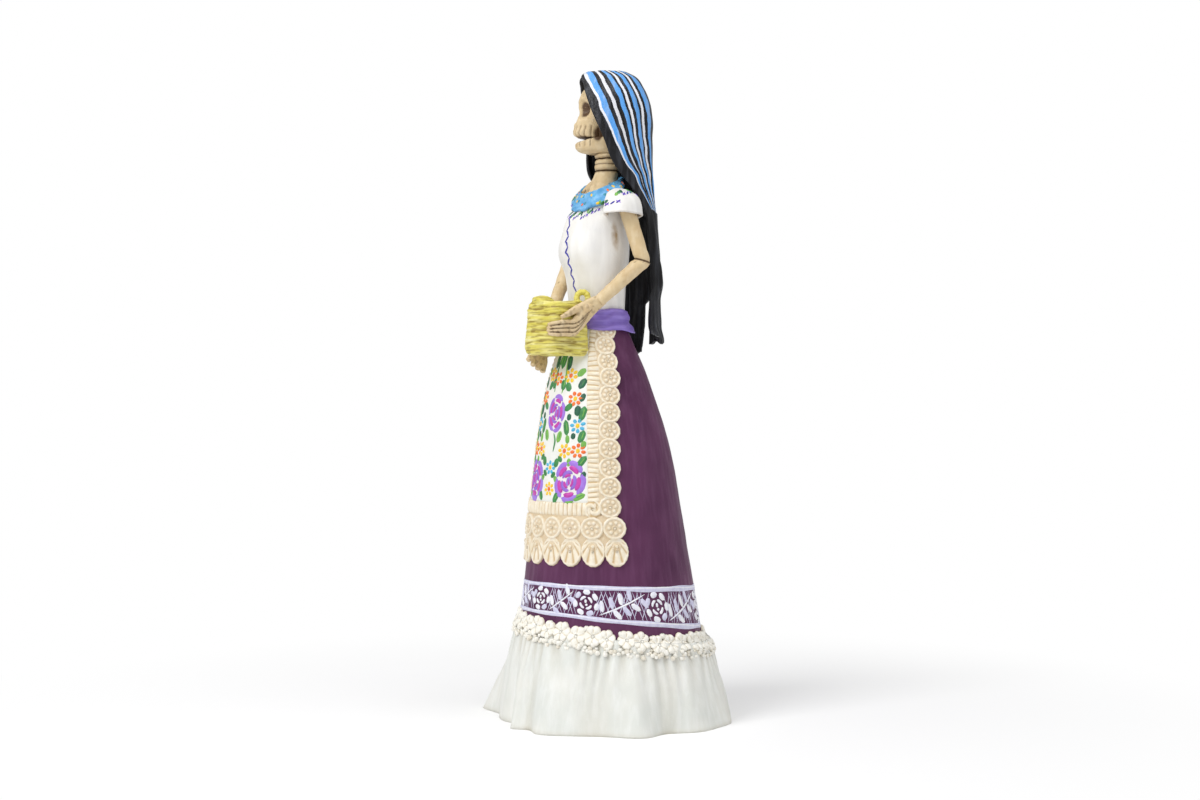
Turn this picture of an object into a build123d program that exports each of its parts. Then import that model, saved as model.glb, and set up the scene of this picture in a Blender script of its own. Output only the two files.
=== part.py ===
"""Paper-paste catrina figurine: a skeleton in embroidered dress and striped shawl, holding a palm basket.

Millimetres. +Z is up, the figure faces -Y and its left hand side is +X. The origin is on the shelf, under
the middle of the ruffled hem. Skirt, blouse and shawl are thin shells round a wooden dowel, a paper core
and bent arm wires; the trims are separate pieces pasted on those shells.
"""

import os
from math import asin, cos, degrees, pi, radians, sin

from build123d import *

os.makedirs("parts", exist_ok=True)

PASTE = 0.05  # gap that the paste fills between two glued pieces

# Base, dowel and screw
DISC_RADIUS, DISC_HEIGHT = 50, 8
DOWEL_RADIUS, DOWEL_Y, DOWEL_TOP = 4, -7, 284
SCREW_RADIUS, SCREW_HEAD_RADIUS, SCREW_HEAD_Z, SCREW_TIP_Z = 1.75, 3.5, 0.5, 24
FORMER_HEIGHTS, FORMER_THICKNESS = (64, 150), 2.5

# Skirt: (height, half width, half depth, centre x, centre y, turn)
SKIRT = [(40, 53.2, 53.2, 0, 0, 0), (62, 50.2, 50.2, 0, -0.6, 0), (90, 46.2, 46.2, 0, -1.6, 0),
         (120, 42.3, 42.3, 0, -2.8, 0), (150, 37.8, 37.8, 0, -4.4, 0), (176, 32.3, 32.3, 0, -6.6, 0),
         (197, 25.9, 25.9, 0, -8.3, 0), (211, 20.6, 20.6, 0, -9, 0), (222, 16.6, 16.2, 0, -9.4, 0)]
SKIRT_WALL = 2

# Ruffled hem
HEM_TOP, HEM_WALL, HEM_RISE, HEM_RISE_ANGLE = 53, 2.2, 6.2, -50
HEM_FOLDS, HEM_LEVELS = 12, ((0, 67, 3.6), (16, 62.5, 3.0), (34, 57.5, 1.4), (44, 55, 0.4))
ROSETTE_COUNT, ROSETTE_RADIUS, ROSETTE_HEIGHT, ROSETTE_Z = 30, 5.1, 1.6, 50.4

# Apron: half widths of its panel and of its ribbed border at each height, seen from the front
PANEL = [(218.5, 8.1), (203, 11.6), (178, 18.4), (150, 22.9), (124, 25.2)]
BORDER = [(218.5, 12.7), (203, 16.5), (178, 22.9), (150, 27.4), (117, 30.4)]
PANEL_THICKNESS, BORDER_THICKNESS, LACE_THICKNESS = 0.9, 1.8, 2.1
RIB_PITCH, RIB_HEIGHT = 3.6, 2.6
MEDALLION_RADIUS, MEDALLION_PITCH, MEDALLION_GAP, SIDE_MEDALLIONS = 5.4, 11, 6, 9
SIDE_MEDALLION_FOOT = 122.5
LACE_STEP, LACE_COUNT, LACE_ROW_HEIGHT, SHELL_ROW_HEIGHT = 15.6, 8, 109, 96
SHELL_HALF_WIDTH, SHELL_HALF_HEIGHT = 5.7, 6.8

# Sash: (height, half width, half depth, centre x, centre y, turn)
SASH = [(218.6, 20.2, 19.6, 0, -9.3, 0), (224.5, 18.6, 17.8, 0, -9.5, 0), (230.5, 19, 16.2, 0, -9.7, 0)]

# Torso, same columns
TORSO = [(222.1, 16.6, 14.6, 0, -9.4, 0), (232, 17.2, 14.4, 0, -9.7, 0), (248, 19, 16, 0, -10.3, 3),
         (263, 20.6, 18.9, 0, -11, 7), (277, 20.8, 17.4, 0, -10.4, 12), (288, 19.6, 14.8, 0, -9, 16),
         (297, 15.5, 12.2, 0, -7.4, 18), (303, 10.6, 9.4, 0, -4.8, 18), (308, 8, 7.8, 0, -2.6, 18)]
CHEST = [(286, 16.9, 12.2, 0, -9.2, 16), (297, 12.6, 9.4, 0, -7.4, 18), (303, 7.8, 6.6, 0, -4.8, 18),
         (309.5, 5.6, 5.6, 0, -2.2, 18)]
BLOUSE_WALL, CORE_TOP = 2, 285.9
NECKLINE_Y, NECKLINE_Z, NECKLINE_TILT = -19.5, 295.5, 24
COLLAR_Y, COLLAR_Z, COLLAR_TILT, COLLAR_THICKNESS = -27, 285, 29, 1.7

# Sleeve of the left arm, same columns
LEFT_SLEEVE = [(282, 8.8, 11.8, 25.2, -12, 0), (293, 8.4, 10.2, 22.4, -10.4, 0), (296.6, 6.2, 7.4, 18.8, -9, 0),
               (299, 3.4, 4, 16.4, -8, 0)]
RIGHT_SLEEVE = [(282, 7.6, 10, -22.4, 2.6, 14), (293, 7.4, 9, -20, 2, 14), (296.6, 5.8, 6.8, -17, 1.4, 14),
                (299, 3.2, 3.8, -15, 1, 14)]
SLEEVE_WALL = 1.6

# Arms: shoulder, elbow, wrist and fingertip points
LEFT_ARM = [(25.5, -11, 290), (31.5, -3, 257), (19.2, -24.5, 234.4), (15.2, -55, 219.5)]
RIGHT_ARM = [(-23.5, 1.5, 290), (-31, -4, 260), (-20.5, -28, 226), (-16.2, -41.5, 197)]
UPPER_ARM_RADII, FOREARM_RADII, WIRE_RADIUS, JOINT_GAP = (4.4, 3.9), (4.3, 3.1), 0.8, 0.4
HAND_THICKNESS, PALM_SHARE, FINGER_WIDTH, FINGER_PITCH = 4, 0.46, 2.3, 2.8

# Neck and head
VERTEBRA = (309.9, 316.3, 6.9)
NECK_DISC = (316.6, 319.9, 6.4)
NECK_Y, NECK_WIRE_RADIUS, NECK_WIRE_TOP = -2.2, 1.1, 336
HEAD_TURN, HEAD_Z = 35, 340
CRANIUM = [(327.4, 8.5, 11, 0, 1, 0), (333, 12.4, 16, 0, 1.5, 0), (340, 14.6, 18.4, 0, 1.8, 0),
           (347, 15.2, 18.8, 0, 1.8, 0), (354, 13.6, 17, 0, 1.8, 0), (360, 9, 11.6, 0, 1.8, 0), (363.3, 3, 4, 0, 1.8, 0)]
FACE = [(327.4, 7.4, 8.6, 0, -12, 0), (332, 8.2, 9.4, 0, -12, 0), (337, 10.4, 8.6, 0, -10.4, 0),
        (342, 12.6, 8.4, 0, -9, 0), (346, 11.6, 7.6, 0, -8.4, 0)]
EYE_X, EYE_Z, EYE_RADIUS = 6.2, 345, 4.6

# Shawl, same columns as the skirt
SHAWL = [(203, 22.5, 16.5, 0, 11, 0), (212, 23.5, 17, 0, 11.2, 0), (240, 24.5, 18.5, 0, 11.5, 0),
         (262, 23, 17, 0, 11.5, 3), (288, 20.4, 16.4, 1.4, 10.2, 10), (300, 20.2, 18.4, 2.1, 7.2, 17),
         (314, 20.2, 20.8, 1.7, 3.8, 25), (328, 20, 22.4, 1.2, 1.9, 31), (340, 19.4, 23, 1, 1.5, 35),
         (351, 17.6, 21.4, 0.8, 1.1, 35), (358.5, 14, 18.6, 0.3, 0.3, 35), (363.5, 10.6, 15.6, -0.4, -0.7, 35),
         (366.5, 6, 10.6, -0.9, -1.4, 35)]
SHAWL_WALL, SHAWL_SPLIT_Z, RIM_TURN = 2.2, 288, 25
HOOD_RIM = [(-20.5, 364), (-17.6, 352), (-14.4, 343), (-8.7, 329.6), (-3.6, 316), (3.8, 304.6), (13, 291), (14, 287)]
TAIL_EDGE = [(5, 289), (9.5, 262), (11.5, 240), (12, 200)]
LEFT_TAIL_FOOT, RIGHT_TAIL_FOOT, TAIL_GAP_TOP, TAIL_GAP, TAIL_SEAM_X = 212.5, 203.5, 237, (-4.3, 4.2), 3.2

# Basket of plaited palm
BASKET_HALF_WIDTH, BASKET_FRONT, BASKET_BACK, BASKET_FOOT, BASKET_TOP = 13, -50.5, -26, 205, 236
LOBE_Y, LOBE_RADIUS = -44, 5.2
HANDLE_CENTRE, HANDLE_RADII, HANDLE_FACING = (10, -29.6, 237.2), (3.3, 1.5), 50


def finish(builder, name):
    """Label a finished piece and write it as one STEP file."""
    builder.part.label = name
    export_step(builder.part, f"parts/{name}.step")


def between(rows, height):
    """Values of a (height, ...) table at a height, straight between its rows."""
    rows = sorted(rows)
    for low, high in zip(rows, rows[1:]):
        if height <= high[0] or high is rows[-1]:
            share = (height - low[0]) / (high[0] - low[0])
            return [a + share * (b - a) for a, b in zip(low[1:], high[1:])]


def column(rows, grow=0.0):
    """Smooth upright solid through ovals given as (height, half width, half depth, x, y, turn), grown outwards."""
    with BuildPart() as solid:
        for height, half_width, half_depth, x, y, turn in rows:
            with BuildSketch(Plane.XY.offset(height)):
                with Locations(Location((x, y), -turn)):
                    Ellipse(half_width + grow, half_depth + grow)
        loft()
    return solid.part


def shell(rows, inside, outside):
    """Wall between two growths of one column."""
    with BuildPart() as wall:
        add(column(rows, outside))
        add(column(rows, inside), mode=Mode.SUBTRACT)
    return wall.part


def slab(low, high, size=300):
    """Everything between two heights."""
    with BuildPart() as block:
        with Locations((0, 0, low)):
            Box(size, size, high - low, align=(Align.CENTER, Align.CENTER, Align.MIN))
    return block.part


def above(y, z, tilt, size=200):
    """Everything above a plane through (0, y, z) that rises backwards by tilt degrees."""
    with BuildPart() as block:
        with BuildSketch(Plane((0, y, z), x_dir=(1, 0, 0), z_dir=(0, -sin(radians(tilt)), cos(radians(tilt))))):
            Rectangle(size, size)
        extrude(amount=size)
    return block.part


def front_prism(points):
    """Front-view outline of (x, z) points, carried forwards from the figure's middle plane."""
    with BuildPart() as prism:
        with BuildSketch(Plane.XZ):
            Polygon(*points, align=None)
        extrude(amount=90)
    return prism.part


def side_prism(points, turn=0):
    """Side-view outline of (y, z) points, carried across the whole figure and turned about the upright axis."""
    with BuildPart() as prism:
        with BuildSketch(Plane.YZ):
            Polygon(*points, align=None)
        extrude(amount=80, both=True)
    return Rot(0, 0, -turn) * prism.part


def rod(start, end, start_radius, end_radius):
    """Round tapered rod between two points."""
    way = Vector(*end) - Vector(*start)
    with BuildPart() as bar:
        with BuildSketch(Plane(Vector(*start), z_dir=way)):
            Circle(start_radius)
        with BuildSketch(Plane(Vector(*end), z_dir=way)):
            Circle(end_radius)
        loft()
    return bar.part


def outward(rows, height, angle, distance=0.0):
    """Plane facing out of a column at an angle from the front, turned towards the figure's left."""
    x, y = between(rows, height)[2:4]
    out = Vector(sin(radians(angle)), -cos(radians(angle)), 0)
    return Plane(Vector(x, y, height) + out * distance, x_dir=(cos(radians(angle)), sin(radians(angle)), 0), z_dir=out)


# ---------------------------------------------------------------- base and armature

with BuildPart() as base_screw:
    with BuildSketch(Plane.XZ.offset(-DOWEL_Y)):
        Polygon((0, SCREW_HEAD_Z), (SCREW_HEAD_RADIUS, SCREW_HEAD_Z), (SCREW_RADIUS, SCREW_HEAD_Z + 2),
                (SCREW_RADIUS, SCREW_TIP_Z - 3), (0, SCREW_TIP_Z), align=None)
    revolve(axis=Axis((0, DOWEL_Y, 0), (0, 0, 1)))
    with BuildSketch(Plane.XY.offset(SCREW_HEAD_Z)):
        with Locations((0, DOWEL_Y)):
            Rectangle(4, 0.9)
            Rectangle(0.9, 4)
    extrude(amount=1.1, mode=Mode.SUBTRACT)
finish(base_screw, "base_screw")

with BuildPart() as base_disc:
    Cylinder(DISC_RADIUS, DISC_HEIGHT, align=(Align.CENTER, Align.CENTER, Align.MIN))
    chamfer(base_disc.faces().sort_by(Axis.Z)[-1].edges(), 1)
    with BuildSketch(Plane.XZ.offset(-DOWEL_Y)):
        Polygon((0, 0), (SCREW_HEAD_RADIUS + 0.3, 0), (SCREW_HEAD_RADIUS + 0.3, SCREW_HEAD_Z),
                (SCREW_RADIUS + 0.3, SCREW_HEAD_Z + 2), (SCREW_RADIUS + 0.3, DISC_HEIGHT), (0, DISC_HEIGHT), align=None)
    revolve(axis=Axis((0, DOWEL_Y, 0), (0, 0, 1)), mode=Mode.SUBTRACT)
finish(base_disc, "base_disc")

with BuildPart() as armature_dowel:
    with Locations((0, DOWEL_Y, DISC_HEIGHT)):
        Cylinder(DOWEL_RADIUS, DOWEL_TOP - DISC_HEIGHT, align=(Align.CENTER, Align.CENTER, Align.MIN))
    add(base_screw.part, mode=Mode.SUBTRACT)
finish(armature_dowel, "armature_dowel")

# ---------------------------------------------------------------- skirt and ruffled hem

with BuildPart() as skirt:
    add(shell(SKIRT, -SKIRT_WALL, 0))
finish(skirt, "skirt")

for number, height in enumerate(FORMER_HEIGHTS, start=1):
    radius, _, _, y, _ = between(SKIRT, height + FORMER_THICKNESS)
    with BuildPart() as former:
        with BuildSketch(Plane.XY.offset(height)):
            with Locations((0, y)):
                Circle(radius - SKIRT_WALL - 0.4)
            with Locations((0, DOWEL_Y)):
                Circle(DOWEL_RADIUS + PASTE, mode=Mode.SUBTRACT)
        extrude(amount=FORMER_THICKNESS)
    finish(former, f"cardboard_former_{number}")


def hem_solid(levels, inset):
    """Waved cone of the hem, drawn in from its outer face."""
    with BuildPart() as solid:
        for height, radius, wave in levels:
            with BuildSketch(Plane.XY.offset(height)):
                with BuildLine():
                    Spline(*[((radius - inset + wave * (-1) ** n) * cos(pi * n / HEM_FOLDS),
                              (radius - inset + wave * (-1) ** n) * sin(pi * n / HEM_FOLDS))
                             for n in range(2 * HEM_FOLDS)], periodic=True)
                make_face()
        loft()
    return solid.part


rise = HEM_RISE / 53
hem_tilt = Vector(-rise * sin(radians(HEM_RISE_ANGLE)), rise * cos(radians(HEM_RISE_ANGLE)), 1)
with BuildPart() as hem_ruffle:
    add(hem_solid(HEM_LEVELS + ((HEM_TOP + 9, 52.8, 0.1),), 0))
    add(hem_solid(HEM_LEVELS, HEM_WALL), mode=Mode.SUBTRACT)
    add(column(SKIRT, PASTE), mode=Mode.SUBTRACT)
    with BuildSketch(Plane((0, 0, HEM_TOP), z_dir=hem_tilt)):
        Circle(90)
    extrude(amount=30, mode=Mode.SUBTRACT)
finish(hem_ruffle, "hem_ruffle")

with BuildPart() as rosette_discs:
    with BuildSketch(Plane((0, 0, ROSETTE_Z - 4), z_dir=hem_tilt)):
        Circle(90)
    extrude(amount=7)
    for n in range(ROSETTE_COUNT):
        angle = 360 * (n + 0.5) / ROSETTE_COUNT
        with BuildSketch(outward(SKIRT, ROSETTE_Z + HEM_RISE * cos(radians(angle - HEM_RISE_ANGLE)), angle)):
            Circle(ROSETTE_RADIUS)
        extrude(amount=80)
hem_cover = [(34, 59.6, 59.6, 0, 0, 0), (44, 56.1, 56.1, 0, 0, 0), (55, 54.2, 54.2, 0, 0, 0), (66, 52.2, 52.2, 0, 0, 0)]
with BuildPart() as hem_rosettes:
    add(column(hem_cover, ROSETTE_HEIGHT))
    add(rosette_discs.part, mode=Mode.INTERSECT)
    add(column(hem_cover), mode=Mode.SUBTRACT)
finish(hem_rosettes, "hem_rosettes")

# ---------------------------------------------------------------- apron


def outline(table):
    """Closed front-view outline of a shape whose half width is tabled by height."""
    return [(-x, z) for z, x in table] + [(x, z) for z, x in reversed(table)]


panel_shape, border_shape = front_prism(outline(PANEL)), front_prism(outline(BORDER))

with BuildPart() as apron_panel:
    add(shell(SKIRT, PASTE, PASTE + PANEL_THICKNESS))
    add(panel_shape, mode=Mode.INTERSECT)
finish(apron_panel, "apron_panel")

rib_count = int((BORDER[0][0] - BORDER[-1][0]) / RIB_PITCH)
with BuildPart() as rib_slabs:
    with Locations([(0, -40, BORDER[-1][0] + 8.6 + RIB_PITCH * n) for n in range(rib_count - 2)]):
        Box(100, 80, RIB_HEIGHT)
with BuildPart() as foot_rib_slabs:
    with Locations([(RIB_PITCH * (n - 8), -40, 120.2) for n in range(17)]):
        Box(RIB_HEIGHT, 80, 6)
with BuildPart() as ribbed_border:
    add(shell(SKIRT, PASTE + PANEL_THICKNESS, PASTE + BORDER_THICKNESS))
    add(rib_slabs.part + foot_rib_slabs.part, mode=Mode.INTERSECT)
    add(shell(SKIRT, PASTE, PASTE + PANEL_THICKNESS))
    add(border_shape, mode=Mode.INTERSECT)
    add(panel_shape, mode=Mode.SUBTRACT)
for name, low, high, side in (("apron_left_border", 124, 222, 1), ("apron_right_border", 124, 222, -1),
                              ("apron_foot_border", 100, 123.95, 0)):
    with BuildPart() as border:
        add(ribbed_border.part)
        with Locations((50 * side, 0, low)):
            Box(100 if side else 200, 200, high - low, align=(Align.CENTER, Align.CENTER, Align.MIN),
                mode=Mode.INTERSECT)
    finish(border, name)

lace_shell = shell(SKIRT, PASTE, PASTE + LACE_THICKNESS)
for name, side in (("apron_left_medallions", 1), ("apron_right_medallions", -1)):
    with BuildPart() as discs:
        for n in range(SIDE_MEDALLIONS):
            height = SIDE_MEDALLION_FOOT + MEDALLION_PITCH * n
            radius = between(SKIRT, height)[0]
            angle = degrees(asin(between(BORDER, height)[0] / radius) + MEDALLION_GAP / radius)
            with BuildSketch(outward(SKIRT, height, side * angle)):
                Circle(MEDALLION_RADIUS)
            extrude(amount=80)
    with BuildPart() as medallions:
        add(lace_shell)
        add(discs.part, mode=Mode.INTERSECT)
        add(border_shape, mode=Mode.SUBTRACT)
    finish(medallions, name)

with BuildPart() as row_discs:
    for n in range(LACE_COUNT):
        with BuildSketch(outward(SKIRT, LACE_ROW_HEIGHT, LACE_STEP * (n - (LACE_COUNT - 1) / 2))):
            Circle(MEDALLION_RADIUS)
        extrude(amount=80)
with BuildPart() as apron_rosettes:
    add(lace_shell)
    add(row_discs.part, mode=Mode.INTERSECT)
    add(slab(100, 116.4), mode=Mode.INTERSECT)
finish(apron_rosettes, "apron_rosettes")

with BuildPart() as row_fans:
    for n in range(LACE_COUNT):
        with BuildSketch(outward(SKIRT, SHELL_ROW_HEIGHT, LACE_STEP * (n - (LACE_COUNT - 1) / 2))):
            Polygon((0, SHELL_HALF_HEIGHT - 1), (SHELL_HALF_WIDTH, 0), (SHELL_HALF_WIDTH * 0.8, -SHELL_HALF_HEIGHT * 0.7),
                    (0, -SHELL_HALF_HEIGHT), (-SHELL_HALF_WIDTH * 0.8, -SHELL_HALF_HEIGHT * 0.7),
                    (-SHELL_HALF_WIDTH, 0), align=None)
        extrude(amount=80)
with BuildPart() as apron_shells:
    add(lace_shell)
    add(row_fans.part, mode=Mode.INTERSECT)
    add(row_discs.part, mode=Mode.SUBTRACT)
finish(apron_shells, "apron_shells")

# ---------------------------------------------------------------- torso, blouse, collar and sleeves

torso_inside = column(TORSO, -BLOUSE_WALL)


def arm_wire(arm, inner_x):
    """Bent wire from the core through shoulder, elbow and wrist into the palm."""
    shoulder, elbow, wrist, tip = arm
    palm = tuple(a + 0.3 * (b - a) for a, b in zip(wrist, tip))
    with BuildPart() as wire:
        for start, end in zip([(inner_x, -9, 279), shoulder, elbow, wrist], [shoulder, elbow, wrist, palm]):
            add(rod(start, end, WIRE_RADIUS, WIRE_RADIUS))
        with Locations(shoulder, elbow, wrist):
            Sphere(WIRE_RADIUS)
    return wire.part


left_wire, right_wire = arm_wire(LEFT_ARM, 9), arm_wire(RIGHT_ARM, -9)
with BuildPart() as neck_wire:
    add(rod((0, NECK_Y, DOWEL_TOP + 1), (0, NECK_Y, NECK_WIRE_TOP), NECK_WIRE_RADIUS, NECK_WIRE_RADIUS))
finish(neck_wire, "neck_wire")
for wire, name in ((left_wire, "left_arm_wire"), (right_wire, "right_arm_wire")):
    with BuildPart() as arm_wire_piece:
        add(wire)
    finish(arm_wire_piece, name)

with BuildPart() as paper_core:
    add(column(TORSO, -BLOUSE_WALL - PASTE))
    add(slab(224, CORE_TOP), mode=Mode.INTERSECT)
    with Locations((0, DOWEL_Y, 200)):
        Cylinder(DOWEL_RADIUS, DOWEL_TOP - 200, align=(Align.CENTER, Align.CENTER, Align.MIN), mode=Mode.SUBTRACT)
    for wire in (left_wire, right_wire, neck_wire.part):
        add(wire, mode=Mode.SUBTRACT)
finish(paper_core, "paper_core")

neckline, collar_edge = above(NECKLINE_Y, NECKLINE_Z, NECKLINE_TILT), above(COLLAR_Y, COLLAR_Z, COLLAR_TILT)
with BuildPart() as blouse:
    add(column(TORSO))
    add(torso_inside, mode=Mode.SUBTRACT)
    add(neckline, mode=Mode.SUBTRACT)
    for wire in (left_wire, right_wire):
        add(wire, mode=Mode.SUBTRACT)
finish(blouse, "blouse")

with BuildPart() as collarbone:
    add(column(CHEST))
    add(neck_wire.part, mode=Mode.SUBTRACT)
finish(collarbone, "collarbone")

with BuildPart() as collar:
    add(shell(TORSO, PASTE, PASTE + COLLAR_THICKNESS))
    add(collar_edge, mode=Mode.INTERSECT)
    add(neckline, mode=Mode.SUBTRACT)
finish(collar, "collar")

with BuildPart() as sash:
    add(column(SASH))
    add(column(SKIRT, PASTE), mode=Mode.SUBTRACT)
    add(column(TORSO, PASTE), mode=Mode.SUBTRACT)
    with Locations((0, TORSO[0][4], SASH[0][0])):
        Cylinder(13, 6, align=(Align.CENTER, Align.CENTER, Align.MIN), mode=Mode.SUBTRACT)
finish(sash, "sash")

# ---------------------------------------------------------------- shawl

shawl_outside = column(SHAWL)
shawl_inside = column([(*row[:1], *[max(v, 1) for v in (row[1] - SHAWL_WALL, row[2] - SHAWL_WALL)], *row[3:])
                       for row in SHAWL[:-1]] + [(SHAWL[-1][0] - SHAWL_WALL, 5, 9, -0.9, -1.4, 35)])
hood_front = side_prism([(-60, 400), *HOOD_RIM, (-60, 287)], RIM_TURN)
with BuildPart() as shawl_hood:
    add(shawl_outside)
    add(shawl_inside, mode=Mode.SUBTRACT)
    add(slab(SHAWL_SPLIT_Z, 400), mode=Mode.INTERSECT)
    add(hood_front, mode=Mode.SUBTRACT)
finish(shawl_hood, "shawl_hood")

tail_front = side_prism([*TAIL_EDGE, (-60, 200), (-60, 289)])
for name, foot, seam, gap_edge, side in (("shawl_left_tail", LEFT_TAIL_FOOT, TAIL_SEAM_X, TAIL_GAP[1], 1),
                                         ("shawl_right_tail", RIGHT_TAIL_FOOT, TAIL_SEAM_X - 0.1, TAIL_GAP[0], -1)):
    with BuildPart() as tail:
        add(shawl_outside)
        add(shawl_inside, mode=Mode.SUBTRACT)
        add(slab(foot, SHAWL_SPLIT_Z - PASTE), mode=Mode.INTERSECT)
        add(tail_front, mode=Mode.SUBTRACT)
        with BuildSketch(Plane.XY.offset(foot)):
            with Locations((gap_edge - side * 50, 30)):
                Rectangle(100, 60)
        extrude(amount=TAIL_GAP_TOP - foot, mode=Mode.SUBTRACT)
        with BuildSketch(Plane.XY.offset(TAIL_GAP_TOP)):
            with Locations((seam - side * 50, 30)):
                Rectangle(100, 60)
        extrude(amount=SHAWL_SPLIT_Z - TAIL_GAP_TOP, mode=Mode.SUBTRACT)
    finish(tail, name)

# ---------------------------------------------------------------- sleeves and arms


def unit(vector):
    """Vector of length one."""
    return vector * (1 / vector.length)


for side_name, side, arm, wire, sleeve_rows in (("left", 1, LEFT_ARM, left_wire, LEFT_SLEEVE),
                                                ("right", -1, RIGHT_ARM, right_wire, RIGHT_SLEEVE)):
    shoulder, elbow, wrist, tip = (Vector(*point) for point in arm)

    with BuildPart() as sleeve:
        add(column(sleeve_rows))
        add(column(sleeve_rows[:2], -SLEEVE_WALL), mode=Mode.SUBTRACT)
        add(column(TORSO, 2 * PASTE + COLLAR_THICKNESS), mode=Mode.SUBTRACT)
        add(shawl_outside, mode=Mode.SUBTRACT)
        add(wire, mode=Mode.SUBTRACT)
    finish(sleeve, f"{side_name}_sleeve")

    upper, lower = unit(elbow - shoulder), unit(wrist - elbow)
    with BuildPart() as upper_arm:
        add(rod(shoulder, elbow + upper * 2.5, *UPPER_ARM_RADII))
        with BuildSketch(Plane(elbow - lower * JOINT_GAP, z_dir=lower + upper)):
            Circle(30)
        extrude(amount=20, mode=Mode.SUBTRACT)
        add(slab(250, sleeve_rows[1][0] - 4), mode=Mode.INTERSECT)
        add(sleeve.part, mode=Mode.SUBTRACT)
        add(wire, mode=Mode.SUBTRACT)
    finish(upper_arm, f"{side_name}_upper_arm")

    with BuildPart() as forearm:
        add(rod(elbow - lower * 3, wrist, *FOREARM_RADII))
        with BuildSketch(Plane(elbow + lower * JOINT_GAP, z_dir=(lower + upper) * -1)):
            Circle(30)
        extrude(amount=20, mode=Mode.SUBTRACT)
        add(wire, mode=Mode.SUBTRACT)
    finish(forearm, f"{side_name}_forearm")

    reach = unit(tip - wrist)
    length = (tip - wrist).length - JOINT_GAP
    palm_length, finger_length = length * PALM_SHARE, length * (1 - PALM_SHARE)
    across = unit(reach.cross(Vector(side, 0, 0)))
    with BuildPart() as hand:
        with BuildSketch(Plane(wrist + reach * JOINT_GAP, x_dir=reach, z_dir=across.cross(reach))):
            Polygon((0, -3), (palm_length + 1, -5.4), (palm_length + 1, 5.4), (0, 3), align=None)
            for finger in range(4):
                with Locations((palm_length + finger_length / 2 - 1, FINGER_PITCH * (finger - 1.5))):
                    SlotOverall(finger_length - abs(finger - 1.5) + 1, FINGER_WIDTH)
            with Locations(Location((palm_length * 0.75, -6 if side > 0 else 6), -25 if side > 0 else 25)):
                SlotOverall(palm_length * 0.9, 3)
        extrude(amount=HAND_THICKNESS / 2, both=True)
        add(forearm.part, mode=Mode.SUBTRACT)
        add(wire, mode=Mode.SUBTRACT)
    finish(hand, f"{side_name}_hand")

# ---------------------------------------------------------------- neck, skull and jaw

for name, (low, high, radius) in (("neck_vertebra", VERTEBRA), ("neck_disc", NECK_DISC)):
    with BuildPart() as neck_piece:
        with BuildSketch(Plane.XZ.offset(-NECK_Y)):
            with BuildLine():
                Line((NECK_WIRE_RADIUS, low), (radius - 0.8, low))
                ThreePointArc((radius - 0.8, low), (radius, (low + high) / 2), (radius - 0.8, high))
                Polyline((radius - 0.8, high), (NECK_WIRE_RADIUS, high), (NECK_WIRE_RADIUS, low))
            make_face()
        revolve(axis=Axis((0, NECK_Y, 0), (0, 0, 1)))
    finish(neck_piece, name)


head_frame = Rot(0, 0, -HEAD_TURN)
with BuildPart() as skull:
    add(column(CRANIUM))
    add(column(FACE))
    with Locations((EYE_X, -17.6, EYE_Z), (-EYE_X, -17.6, EYE_Z)):
        Sphere(EYE_RADIUS, mode=Mode.SUBTRACT)
    with BuildSketch(Plane.XZ.offset(25)):
        Polygon((-2.4, 335.5), (2.4, 335.5), (0, 341), align=None)
    extrude(amount=-8, mode=Mode.SUBTRACT)
    with Locations([(x, -19, 328.6) for x in range(-6, 7, 2)]):
        Box(0.4, 8, 2.6, mode=Mode.SUBTRACT)
    add(head_frame.inverse() * neck_wire.part, mode=Mode.SUBTRACT)
with BuildPart() as skull_turned:
    add(head_frame * skull.part)
finish(skull_turned, "skull")

with BuildPart() as jaw:
    with BuildSketch(Plane.XY.offset(320.2)):
        with Locations((0, -8)):
            Ellipse(10.4, 12.6)
            Ellipse(7.2, 8.6, mode=Mode.SUBTRACT)
        with Locations((0, 12)):
            Rectangle(40, 36, mode=Mode.SUBTRACT)
    extrude(amount=6.2)
    with BuildSketch(Plane.XY.offset(320.2)):
        with Locations((0, -9)):
            Ellipse(7.4, 9.4)
        with Locations((0, 12)):
            Rectangle(40, 36, mode=Mode.SUBTRACT)
    extrude(amount=2)
    with Locations([(x, -19.5, 325.6) for x in range(-6, 7, 2)]):
        Box(0.4, 8, 2, mode=Mode.SUBTRACT)
with BuildPart() as lower_jaw:
    add(head_frame * jaw.part)
    add(neck_wire.part, mode=Mode.SUBTRACT)
finish(lower_jaw, "lower_jaw")

# ---------------------------------------------------------------- basket

with BuildPart() as basket:
    with BuildSketch(Plane.XY.offset(BASKET_FOOT)):
        with Locations((0, (BASKET_FRONT + BASKET_BACK) / 2)):
            RectangleRounded(2 * BASKET_HALF_WIDTH, BASKET_BACK - BASKET_FRONT, 5)
    extrude(amount=BASKET_TOP - BASKET_FOOT)
    fillet(basket.edges().group_by(Axis.Z)[0], 2)
    with Locations(Location((0, LOBE_Y, BASKET_TOP - 0.5), (0, 90, 0))):
        Cylinder(LOBE_RADIUS, 2 * BASKET_HALF_WIDTH - 6)
    add(column(SKIRT, PASTE + BORDER_THICKNESS + 0.3), mode=Mode.SUBTRACT)
    add(column(SASH, 0.3), mode=Mode.SUBTRACT)
    add(column(TORSO, 0.4), mode=Mode.SUBTRACT)
finish(basket, "basket")

with BuildPart() as basket_handle:
    facing = Plane(HANDLE_CENTRE, x_dir=(0, 0, 1), z_dir=(sin(radians(HANDLE_FACING)), -cos(radians(HANDLE_FACING)), 0))
    with Locations(facing.location):
        Torus(*HANDLE_RADII)
    add(basket.part, mode=Mode.SUBTRACT)
finish(basket_handle, "basket_handle")
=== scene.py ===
import math
import random

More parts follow.
